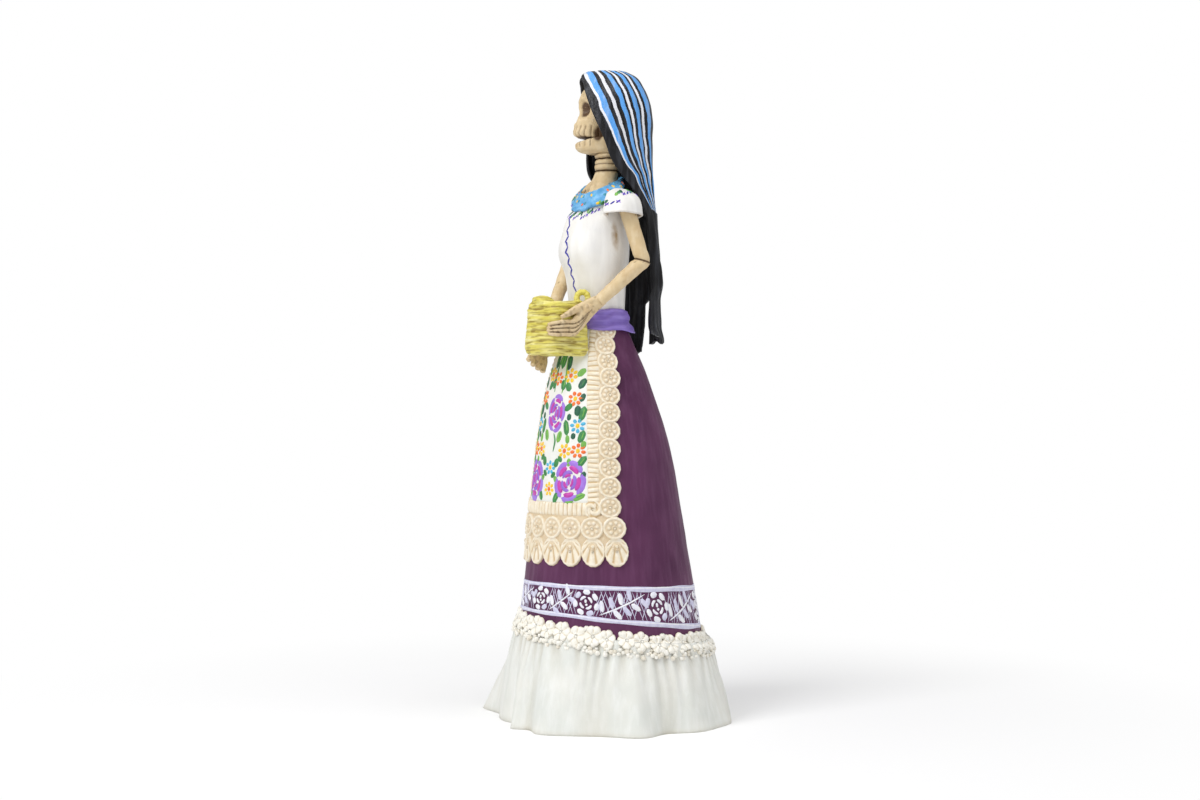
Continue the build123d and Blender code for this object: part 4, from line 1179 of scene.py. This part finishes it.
def limb(name, node, start, end, radii, cuts, swell=(0.0, 0.0), seed=20):
    """Bone from start to end; cuts are the planes (point, normal) that end it, swell widens its two ends."""
    start, end = Vector(start), Vector(end)
    way = (end - start).normalized()
    side = way.orthogonal().normalized()
    other = way.cross(side)
    build = Build()
    rows, tints = [], []
    for k in range(41):
        share = k / 40
        row, tint = [], []
        for a in angles(48):
            spoke = side * math.cos(a) + other * math.sin(a)
            radius = radii[0] + (radii[1] - radii[0]) * share
            radius += swell[0] * ease(0.16, 0, share) + swell[1] * ease(0.84, 1, share)
            elbow = 1 - share if swell[0] else share
            radius *= 1 - 0.2 * ease(0.86, 1.0, elbow) ** 2 - 0.1 * ease(0.05, 0, elbow) ** 2
            offset = start + spoke * radius
            first, last = ((point - offset).dot(normal) / way.dot(normal) for point, normal in cuts)
            here = offset + way * (first + (last - first) * share)
            here += spoke * (0.28 * wobble(here, 5, seed) + 0.12 * wobble(here, 1.8, seed + 1))
            row.append(here)
            pit = ease(0.62, 0.72, wobble(here, 1.6, seed + 2))
            tint.append(clamp(0.9 * ease(0.97, 1.0, elbow) + 0.8 * pit))
        rows.append(row)
        tints.append(tint)
    for end_row, front in ((rows[0], True), (rows[-1], False)):
        middle = sum(end_row, Vector()) / 48
        ring = [middle + (p - middle) * 0.02 for p in end_row]
        if front:
            rows, tints = [ring] + rows, [[0.4] * 48] + tints
        else:
            rows, tints = rows + [ring], tints + [[1.0] * 48]
    build.grid(rows, tints, loop=True)
    obj = build.piece(name, BONE, "bone", [node])
    make_normals_outward(obj)


def melt(name, build, voxel, smooth_steps, shape, material, nodes):
    """Joins overlapping closed shapes into one skin.

    shape(point, normal) gives each vertex of the skin its rise and its darkening: painted shade in its
    hollows, with random darker patches.
    """
    mesh = bpy.data.meshes.new(name)
    mesh.from_pydata([Vector(v) * MM for v in build.verts], [], build.faces)
    obj = bpy.data.objects.new(name, mesh)
    bpy.context.scene.collection.objects.link(obj)
    make_normals_outward(obj)
    remesh = obj.modifiers.new("skin", "REMESH")
    remesh.mode, remesh.voxel_size = "VOXEL", voxel * MM
    relax = obj.modifiers.new("relax", "SMOOTH")
    relax.factor, relax.iterations = 0.5, smooth_steps
    skin = bpy.data.meshes.new_from_object(obj.evaluated_get(bpy.context.evaluated_depsgraph_get()))
    obj.modifiers.clear()
    obj.data = skin
    skin.name = name
    places = [(v.co / MM, v.normal.copy()) for v in skin.vertices]
    layer = skin.attributes.new("shade_and_wash", "FLOAT", "POINT")
    for v, (point, way) in zip(skin.vertices, places):
        rise, shade_and_wash = shape(point, way)
        v.co = (point + way * rise) * MM
        layer.data[v.index].value = shade_and_wash
    skin.shade_smooth()
    skin.materials.clear()
    skin.materials.append(material)
    finish_piece(obj, nodes)


for side, name, arm in ((1, "left", LEFT_ARM), (-1, "right", RIGHT_ARM)):
    shoulder, elbow, wrist, tip = (Vector(point) for point in arm)
    upper, lower = (elbow - shoulder).normalized(), (wrist - elbow).normalized()
    bend = (upper + lower).normalized()
    limb(f"{name}_upper_bone", f"{name}_upper_arm", shoulder, elbow, (4.5, 4.1),
         ((shoulder + upper * 2, upper), (elbow - bend * 0.12, bend)), (0, 0.4), 20 + side)
    limb(f"{name}_fore_bone", f"{name}_forearm", elbow, wrist, (4.3, 3.3),
         ((elbow + bend * 0.12, bend), (wrist, lower)), (0.4, 0.0), 24 + side)

# Rounding at the heel of each hand, over the end of its wire
HEEL_RADIUS = 2.7


def bone_hand(name, node, palm, palm_radii, squash, flat, fingers, thumb, finger_radius, heel, carve=1.0):
    """Hand of a palm, a thumb and four fingers side by side.

    heel is the middle of the rounding over the wire's end; carve deepens the grooves between the fingers and
    the painted shade in them.
    """
    hand = Build()
    hand.ball(heel, HEEL_RADIUS, 20, 14)
    hand.tube(path(palm, 14), [palm_radii[0] + (palm_radii[1] - palm_radii[0]) * k / 13 for k in range(14)],
              28, squash, flat)
    lines = [path(finger, 40) for finger in fingers]
    for line in lines:
        hand.tube(line, [finger_radius * (1 - 0.4 * ease(26, 40, k)) for k in range(40)], 14)
    hand.tube(path(thumb, 20),
              [1.75 + 0.35 * math.sin(math.pi * clamp(k / 14)) - 0.8 * ease(13, 20, k) for k in range(20)],
              16)
    grooves = [(p + q) / 2 for first, second in zip(lines, lines[1:]) for p, q in zip(first, second)]

    def skin(point, way):
        near = min((point - g - (point - g).dot(flat) * flat).length for g in grooves)
        groove = ease(0.62, 0.12, near)
        crease = ease(0.1, 0.5, wobble(point, 2.0, 30))
        # Painted shade in the grooves between the fingers; crease adds random darker patches.
        dark = clamp(0.62 * carve * groove + 0.3 * crease)
        return 0.12 * wobble(point, 1.5, 31) - 0.5 * carve * groove, dark

    melt(name, hand, 0.36, 1, skin, BONE, [node])


bone_hand("left_bone_hand", "left_hand",
          [(20.4, -22.4, 235.8), (18.4, -27.2, 231.8), (16.7, -32.4, 226.6), (15.5, -37.6, 221.2)],
          (3.3, 4.5), 0.5, Vector((1, 0, 0)),
          [[(17.6, -30.2 - 0.7 * n, 230.2 - 1.5 * n), (16.3, -34.2 - 0.4 * n, 226.2 - 2.0 * n),
            (15.5, -39, 223.2 - 2.3 * n), (15.2, -44.6, 222.8 - 2.25 * n), (14.7, -49.8, 222.2 - 2.1 * n),
            (12.0, -52.9, 221.5 - 1.8 * n), (9.4 + 0.9 * abs(n - 1.5), -53.3, 221.1 - 1.65 * n)]
           for n in range(4)],
          [(18.8, -25.2, 236.2), (17.6, -30.2, 233.8), (16, -37.2, 230.2), (15.4, -43.2, 227.2),
           (15.1, -47.8, 225.2)], 1.32, (18.3, -31.4, 230.5))
RIGHT_TIPS = [(-14.2, -47.8, 202.2), (-14.2, -44.8, 199.4), (-14.2, -41.2, 197.2), (-14.4, -37.4, 195.6)]
bone_hand("right_bone_hand", "right_hand",
          [(-20.7, -27.6, 227.2), (-19.4, -31.6, 217.5), (-17.0, -36.6, 206)],
          (3.1, 5.6), 0.42, Vector((1, 0, 0)),
          [[(-18.2, -34.6 - 0.5 * n, 214 - n), (-16.8, -39.4 + 1.4 * n, 208.5 - 1.6 * n), tip]
           for n, tip in enumerate(RIGHT_TIPS)],
          [(-19, -32, 218), (-17.6, -38.4, 213), (-15.4, -44, 209.4), (-14.2, -46.6, 207)], 2.5,
          (-19.4, -31.3, 218.8), 0)

# ---------------------------------------------------------------- palm-leaf basket

BASKET_SECTORS, BASKET_STEPS = 72, 24
basket = Build()
rows = []
for k in range(BASKET_STEPS + 1):
    share = k / BASKET_STEPS
    z = 204.4 + 29.8 * share
    pinch = 1 - 0.12 * (abs(2 * share - 1) ** 6)
    row = []
    for a in angles(BASKET_SECTORS):
        s, c = math.sin(a), -math.cos(a)
        reach = (abs(s) ** 5 + abs(c) ** 5) ** (-1 / 5)
        x, y = 13.2 * reach * s * pinch, 12.1 * reach * c * pinch
        x -= 1.6 * ease(0.75, 0, share) * ease(-4, -13, x)
        x += 2.8 * ease(0.8, 0.55, share) * ease(4, 12, x) * ease(-2, 9, y)
        y -= 38.6 + (2.6 - 1.4 * share) * ease(-4, -11, y) * ease(7, -3, x)
        row.append(Vector((x, y, z + 0.9 * ease(0.35, 0, share) * ease(-32, -50, y)
                           + 0.6 * ease(0.6, 1, share) * ease(0, 12, x))))
    rows.append(row)
start = basket.grid(rows, loop=True)
basket.cap(start, BASKET_SECTORS, flip=True)
basket.cap(start + BASKET_STEPS * BASKET_SECTORS, BASKET_SECTORS)
basket.tube(path([(-3.6, -50.4, 232.4), (-2.6, -46.6, 233.8), (-0.6, -41.5, 232)], 20),
            [4.8, 5.6] + [6.4 - 0.06 * k for k in range(16)] + [4.8, 3.8], 40, 0.72, Vector((0, 0, 1)))


def palm_skin(point, way):
    """Leaf strips lie level on the front, and fan out from the hand towards the lower back corner."""
    fan = ease(-40, -32, point.y) * ease(226, 214, point.z) * ease(4, 9, point.x)
    bend = wobble((point.x * 0.3, point.y * 0.3, point.z), 5.5, 33)
    level = wobble((point.x * 0.09, point.y * 0.09, point.z + 1.2 * bend), 1.15, 36)
    folds = math.cos(TAU * point.z / 3.9 + 3.4 * bend + 0.09 * point.y)
    radial = math.cos(9 * math.atan2(point.z - 224, point.y + 48) + 2 * bend)
    fine = wobble((point.x * 0.12, point.y * 0.12, point.z), 0.7, 34)
    ridge = (0.75 * level + 0.4 * folds) * (1 - fan) + 0.5 * radial * fan
    if abs(way.z) > 0.75 and point.z < 230:
        ridge *= 0.3
    # Painted shade in the low places between the leaf strips; fine adds random darker patches.
    dark = clamp(0.6 * ease(-0.15, -0.7, ridge) + 0.6 * ease(0.05, 0.45, -fine))
    return 0.3 * ridge + 0.3 * fine + 0.5 * wobble(point, 9, 35), dark


melt("palm_leaf_basket", basket, 0.48, 3, palm_skin, PALM, ["basket"])

handle = Build()
arch = [Vector((10.4, -28.9, 236.4)) + LOOK * 3.1 * math.cos(f) + Vector((0, 0, 3.4 * math.sin(f)))
        for f in (math.radians(-35 + 250 * k / 40) for k in range(41))]
handle.tube(arch, [1.65 + 0.12 * math.cos(k * 1.1) for k in range(41)], 24)
handle.piece("palm_handle", PALM, "palm", ["basket_handle"])

# ---------------------------------------------------------------- painted decoration


class Painter:
    """Brush strokes of raised paint on a surface, gathered by colour.

    place(x, y, out) puts a point on the surface.
    """

    def __init__(self, place, lift=0.28):
        self.place, self.lift, self.builds = place, lift, {}

    def stroke(self, colour, line, width, steps=8, lift=None):
        build = self.builds.setdefault(colour, Build())
        points = path([(x, y, 0) for x, y in line], steps + 1)
        lift = self.lift if lift is None else lift
        rows = []
        for n, here in enumerate(points):
            way = (points[min(n + 1, steps)] - points[max(n - 1, 0)]).normalized()
            half = width / 2 * math.sqrt(max(0.03, 1 - abs(2 * n / steps - 1) ** 3))
            rows.append([self.place(here.x - way.y * half * s, here.y + way.x * half * s, lift * up)
                         for s, up in ((-1, -0.4), (-0.8, 0.7), (0, 1), (0.8, 0.7), (1, -0.4))])
        build.grid(rows)

    def dab(self, colour, x, y, length, width, tilt=0.0, lift=None):
        """Single oval touch of the brush, tilted from upright in degrees."""
        s, c = math.sin(math.radians(tilt)) * length / 2, math.cos(math.radians(tilt)) * length / 2
        self.stroke(colour, [(x - s, y - c), (x, y), (x + s, y + c)], width, 6, lift)

    def arc(self, colour, x, y, across, up, start, end, width, lift=None):
        """Stroke along part of an ellipse; angles from the top, in radians."""
        line = [(x + across * math.sin(a), y + up * math.cos(a))
                for a in (start, (2 * start + end) / 3, (start + 2 * end) / 3, end)]
        self.stroke(colour, line, width, 8, lift)

    def finish(self, name, slot):
        for colour, build in self.builds.items():
            obj = build.piece(f"{name}_{colour}", INKS[colour], slot)
            make_normals_outward(obj)


INKS = {}
for name, tone, shade in (("lavender", (0.66, 0.66, 0.81), (0.55, 0.54, 0.73)),
                          ("chalk", (0.86, 0.87, 0.90), (0.74, 0.74, 0.86)),
                          ("purple", (0.31, 0.15, 0.66), (0.25, 0.12, 0.56)),
                          ("lilac", (0.36, 0.19, 0.71), (0.30, 0.15, 0.64)),
                          ("magenta", (0.58, 0.05, 0.40), (0.46, 0.04, 0.36)),
                          ("yellow", (0.90, 0.60, 0.02), (0.86, 0.50, 0.02)),
                          ("orange", (0.86, 0.19, 0.02), (0.78, 0.12, 0.02)),
                          ("sky", (0.08, 0.46, 0.70), (0.06, 0.36, 0.60)),
                          ("pine", (0.015, 0.12, 0.06), (0.01, 0.08, 0.05)),
                          ("green", (0.05, 0.26, 0.07), (0.03, 0.18, 0.05)),
                          ("lime", (0.20, 0.46, 0.08), (0.12, 0.36, 0.06)),
                          ("indigo", (0.03, 0.03, 0.30), (0.05, 0.04, 0.38)),
                          ("teal", (0.02, 0.20, 0.30), (0.03, 0.28, 0.34))):
    INKS[name] = paint(f"ink_{name}", tone, shade, tuple(min(1, 0.05 + 1.2 * v) for v in tone),
                       streaks=(500, 500, 500), streak=0.3, blotch=400, rough=0.5, bump=0.15)

# Painted band round the skirt
BAND_RADIUS = 49


def band_edges(angle):
    return (57.7 + 5.9 * math.cos(angle + math.radians(10)), 75.9 + 2.4 * math.cos(angle - math.radians(5)))


def on_band(x, y, out):
    """x is millimetres round the skirt, y from -7.6 at the lower stripe to 7.6 at the upper one."""
    angle = x / BAND_RADIUS
    low, high = band_edges(angle)
    return skirt_at(angle, (low + high) / 2 + y * (high - low) / 2 / 7.6, out)


band = Painter(on_band, 0.22)
for level in (7.7, -7.7):
    stripe = band.builds.setdefault("lavender", Build())
    stripe.grid([[on_band(BAND_RADIUS * a, level + 0.12 * math.sin(7 * a + level)
                          + offset * (1 + 0.12 * math.sin(11 * a)), out) for a in angles(240)]
                 for offset, out in ((-1.15, -0.1), (-0.95, 0.2), (0, 0.3), (0.95, 0.2), (1.15, -0.1))],
                loop=True)
    light = band.builds.setdefault("chalk", Build())
    light.grid([[on_band(BAND_RADIUS * a, level + 0.35 + 0.25 * math.sin(5 * a) + offset, out)
                 for a in angles(240)]
                for offset, out in ((-0.4, 0.15), (0, 0.38), (0.4, 0.15))], loop=True)
rng = random.Random(3)
ROSES = (0, 35, 82, 128, 174, 221, 267, 314)
for n, degrees in enumerate(ROSES):
    x = BAND_RADIUS * math.radians(degrees)
    gap = BAND_RADIUS * math.radians((ROSES[(n + 1) % 8] - degrees) % 360)
    for k in range(int((gap - 11) / 2.2)):
        across = x + 6.5 + k * 2.2 + rng.uniform(-0.3, 0.3)
        lean = 5.5 + rng.uniform(-0.6, 0.6)
        if k % 3 != 2:
            band.stroke("lavender", [(across - lean / 2, -6.6), (across, 0), (across + lean / 2, 6.6)], 0.42,
                        6, 0.12)
        if k % 4 != 1:
            band.stroke("lavender", [(across + lean / 2, -6.6), (across, 0), (across - lean / 2, 6.6)], 0.42,
                        6, 0.12)
    middle = x + gap / 2
    reach = max(gap / 2 - 7.4, 4.5)
    band.stroke("chalk", [(middle - reach, -5.6), (middle - 0.5, -0.6), (middle + reach, 5.4)], 0.9, 10, 0.26)
    pairs = max(2, round(reach / 2.6))
    for k in range(pairs):
        share = (k + 0.5) / pairs
        stem_x, stem_y = middle + reach * (2 * share - 1), -5.2 + 10.2 * share
        tone = ("chalk", "lavender")[k % 2]
        if stem_y < 3.6:
            band.dab(tone, stem_x - 1.2, stem_y + 3.0, 5.8, 2.8, -16 + rng.uniform(-8, 8), 0.34)
        if stem_y > -3.8:
            band.dab(("lavender", "chalk")[k % 2], stem_x + 2.1, stem_y - 2.5, 5.6, 2.8,
                     122 + rng.uniform(-10, 10), 0.34)
    spin = rng.uniform(0, 1)
    for k in range(7):
        way = TAU * k / 7 + spin
        band.arc("lavender" if k in (2, 5) else "chalk", x, 0, 6.2, 5.5, way - 0.33, way + 0.33, 2.9, 0.4)
    for k in range(4):
        way = TAU * k / 4 + spin
        band.arc("chalk", x, 0, 3.2, 2.9, way - 0.62, way + 0.62, 1.5, 0.42)
    band.dab("chalk", x - 0.2, 0.8, 1.9, 1.5, 0, 0.42)
    band.dab("chalk", x + 0.3, -1.0, 1.4, 1.3, 60, 0.42)
band.finish("skirt_band", "painted_skirt")

# Flowers on the apron


def on_apron(x, y, out):
    """x across the figure's front and y height, in millimetres."""
    radius = table(SKIRT, y)[0]
    return skirt_at(math.asin(clamp(x / radius, -0.95, 0.95)), y + apron_drop(0), 0.9 + out)


apron = Painter(on_apron, 0.3)


def rose(x, y, width, height, spin):
    across, up = width / 2, height / 2
    for k in range(5):
        way = TAU * k / 5 + spin
        apron.arc("lilac", x, y, across * 0.81, up * 0.83, way - 0.6, way + 0.58, across * 0.40, 0.34)
        apron.arc("magenta", x, y, across * 0.61, up * 0.63, way - 0.5, way + 0.5, across * 0.34, 0.4)
    for k in range(3):
        way = TAU * k / 3 + spin + 1.3
        apron.arc("purple", x, y, across * 0.40, up * 0.42, way - 0.96, way + 0.88, across * 0.25, 0.46)
        apron.arc("magenta", x, y, across * 0.26, up * 0.28, way - 0.7, way + 0.78, across * 0.18, 0.5)
    apron.dab("lilac", x, y, up * 0.42, across * 0.3, 12, 0.42)
    apron.dab("magenta", x + 0.2, y - 0.3, up * 0.26, across * 0.12, -10, 0.5)


def daisy(x, y, petals, middle, size, spin):
    for k in range(7):
        way = TAU * k / 7 + spin
        s, c = math.sin(way), math.cos(way)
        apron.stroke(petals, [(x + s * size * 0.42, y + c * size * 0.42),
                              (x + s * size * 0.72, y + c * size * 0.72),
                              (x + s * size, y + c * size)], size * 0.5, 5)
    apron.dab(middle, x, y, size * 0.62, size * 0.55, 0, 0.4)


rose(1.1, 173, 13.5, 23, 0.2)
for side in (1, -1):
    rose(side * 13.9, 135.9, 18.5, 24.4, 0.5 * side)
# Daisies on each half of the panel, then those down its middle: (x, y, petals, centre)
SIDE_DAISIES = ((7.6, 193.8, "yellow", "orange"), (9.8, 152.5, "yellow", "orange"),
                (12.6, 181.1, "orange", "yellow"), (17.5, 152.6, "orange", "yellow"),
                (15.9, 166.3, "sky", "yellow"))
for n, (x, y, petals, middle) in enumerate(SIDE_DAISIES):
    for side in (1, -1):
        daisy(side * x, y + (0 if side > 0 else 0.8), petals, middle, 4.1, 0.3 * n)
MIDDLE_DAISIES = ((0.8, 131.4, "yellow", "orange"), (-1.0, 192.2, "orange", "yellow"),
                  (0.6, 143.2, "sky", "yellow"))
for n, (x, y, petals, middle) in enumerate(MIDDLE_DAISIES):
    daisy(x, y, petals, middle, 3.9, 0.4 * n)
apron.stroke("green", [(1.6, 152), (2.4, 158), (1.0, 162)], 1.1)
apron.stroke("lime", [(3.6, 184), (4.6, 192), (3.0, 204)], 1.2)
apron.stroke("green", [(-2.6, 185), (-3.2, 195), (-1.6, 206)], 1.1)
# Leaves on each half of the panel: (x, y, length, tilt, colour)
LEAVES = ((0.6, 202.3, 8, 5, "green"), (4.9, 201, 7, -4, "pine"), (13.1, 195.5, 4.4, 30, "lime"),
          (14.8, 189.4, 5.2, 15, "pine"), (7.5, 187.6, 4.6, -25, "green"), (16.3, 181.7, 4, 10, "pine"),
          (14.9, 174.5, 5, -5, "pine"), (17.6, 172.9, 7, 6, "green"), (9.4, 176.4, 4.8, 50, "green"),
          (10.6, 171, 3.2, 0, "pine"), (9.5, 165.2, 7.5, -12, "green"), (5.2, 160.2, 5.6, 14, "lime"),
          (11, 158.8, 4, -8, "lime"), (18.6, 160.4, 6, 12, "green"), (20.0, 156, 3.6, 0, "lime"),
          (14.2, 160.6, 3, 0, "pine"), (19.9, 146.6, 6.4, 30, "green"), (21.3, 139.0, 4.2, 10, "pine"),
          (20.0, 127.4, 6.0, 62, "lime"), (15.2, 124.9, 4, 80, "lime"), (6.6, 127.2, 6, 25, "green"),
          (5.6, 136.5, 4, -30, "lime"), (4.9, 145.8, 4.4, 12, "green"), (7.4, 148.0, 3.4, -35, "green"),
          (3.8, 188.6, 5, -10, "green"), (13.2, 146.2, 3.8, 0, "lime"), (3.4, 139.2, 3.4, 40, "green"))
for x, y, length, tilt, tone in LEAVES:
    for side in (1, -1):
        apron.dab(tone, side * x, y + (0 if side > 0 else 0.9), length * 1.15, 3.7 if length > 4.2 else 2.8,
                  side * tilt)
        if length > 5:
            apron.dab("lime" if tone == "green" else "green", side * (x + 0.5), y + 0.4, length * 0.6, 0.7,
                      side * tilt, 0.4)
apron.finish("apron_flowers", "apron_white")

# Embroidery on the blouse and its collar


def surface_of(*builds):
    """place(x, y, out) on the outside of these pieces.

    x is millimetres round the body at a radius of 20, y is the height.
    """
    verts, faces = [], []
    for build in builds:
        faces += [tuple(v + len(verts) for v in face) for face in build.faces]
        verts += [Vector(v) for v in build.verts]
    tree = BVHTree.FromPolygons(verts, faces)

    def place(x, y, out):
        way = Vector((math.sin(x / 20), -math.cos(x / 20), 0))
        hit, normal, _, _ = tree.ray_cast(Vector((0, -8, y)) + way * 60, -way)
        if hit is None:
            return Vector((0, -8, y)) + way * 12
        return hit + (normal if normal.dot(way) > 0 else -normal) * out
    return place


on_cloth = surface_of(blouse, collar, *sleeve_builds)


def collar_edge(x):
    """Height of the row of stitches under the collar at a place round the body."""
    z = 290
    for _ in range(12):
        z = 0.5 * z + 0.5 * collar_foot(on_cloth(x, clamp(z, 280, 300), 0).y)
    return min(z + 0.42 * max(0, abs(x) - 13), 298.2)


# Degrees round from the front at which the zigzag of stitches runs, at each height
ZIGZAG = [(222, 0), (240, 2), (263, 7), (277, 12), (288, 16)]
stitches = Painter(on_cloth, 0.22)
rng = random.Random(8)
for k in range(15):
    z = 282.6 - 3.1 * k
    x = -20 * math.radians(table(ZIGZAG, z)[0])
    swing = 1.3 if k % 2 else -1.3
    stitches.stroke("indigo", [(x - swing, z + 1.7), (x - swing * 0.1, z + 0.5), (x + swing, z - 1.8)], 1.3,
                    6)
for x in range(-30, 47, 7):
    z = collar_edge(x) - 2.2
    for n, tone in enumerate(("lime", "green", "pine")):
        stitches.dab(tone, x + 1.3 * n - 1.3, z + rng.uniform(-0.5, 0.7) + 0.4 * n, 2.6, 1.2,
                     25 + rng.uniform(-20, 20))
    for n in (-1, 0, 1):
        across, level = x + 3.4 + 1.9 * n, collar_edge(x + 3.4) - 3.6 + 0.7 * n
        stitches.dab("indigo", across, level, 2.4, 0.7, 40)
        if n != 0:
            stitches.dab("lilac", across, level, 2.0, 0.6, -45)
stitches.finish("blouse_embroidery", "white_cloth")

dots = Painter(surface_of(collar), 0.3)
for n in range(44):
    x = 20 * TAU * (n + rng.uniform(-0.4, 0.4)) / 44
    low = collar_foot(dots.place(x, 291, 0).y)
    z = min(low, 300) + rng.choice((2, 3.6, 5.2, 6.8)) + rng.uniform(-0.5, 0.5)
    dots.dab(("yellow", "teal", "orange", "teal", "yellow", "sky")[n % 6], x, z, 1.7, 1.5,
             rng.uniform(0, 90), 0.3)
dots.finish("collar_dots", "blue_collar")

# ---------------------------------------------------------------- finishes of the CAD pieces that stay

for name, colours, rough, nodes_here in (
        ("turned_pine", ((0.62, 0.44, 0.24), (0.46, 0.30, 0.15), (0.74, 0.58, 0.36)), 0.6,
         ("armature_dowel",)),
        ("base_board", ((0.50, 0.37, 0.22), (0.36, 0.25, 0.14), (0.62, 0.49, 0.32)), 0.7, ("base_disc",)),
        ("bright_steel", ((0.42, 0.42, 0.43), (0.30, 0.30, 0.31), (0.58, 0.58, 0.60)), 0.35,
         ("base_screw", "left_arm_wire", "right_arm_wire", "neck_wire")),
        ("former_card", ((0.45, 0.35, 0.23), (0.36, 0.27, 0.17), (0.56, 0.46, 0.32)), 0.85,
         ("cardboard_former_1", "cardboard_former_2")),
        ("pasted_paper", ((0.66, 0.62, 0.53), (0.50, 0.46, 0.38), (0.78, 0.75, 0.67)), 0.85,
         ("paper_core",))):
    grain = (60, 400, 400) if name in ("turned_pine", "base_board") else (220, 220, 220)
    finish = paint(name, *colours, streaks=grain, streak=0.5, rough=rough, bump=0.2)
    for node in nodes_here:
        for cad_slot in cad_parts[node].material_slots:
            cad_slot.material = finish
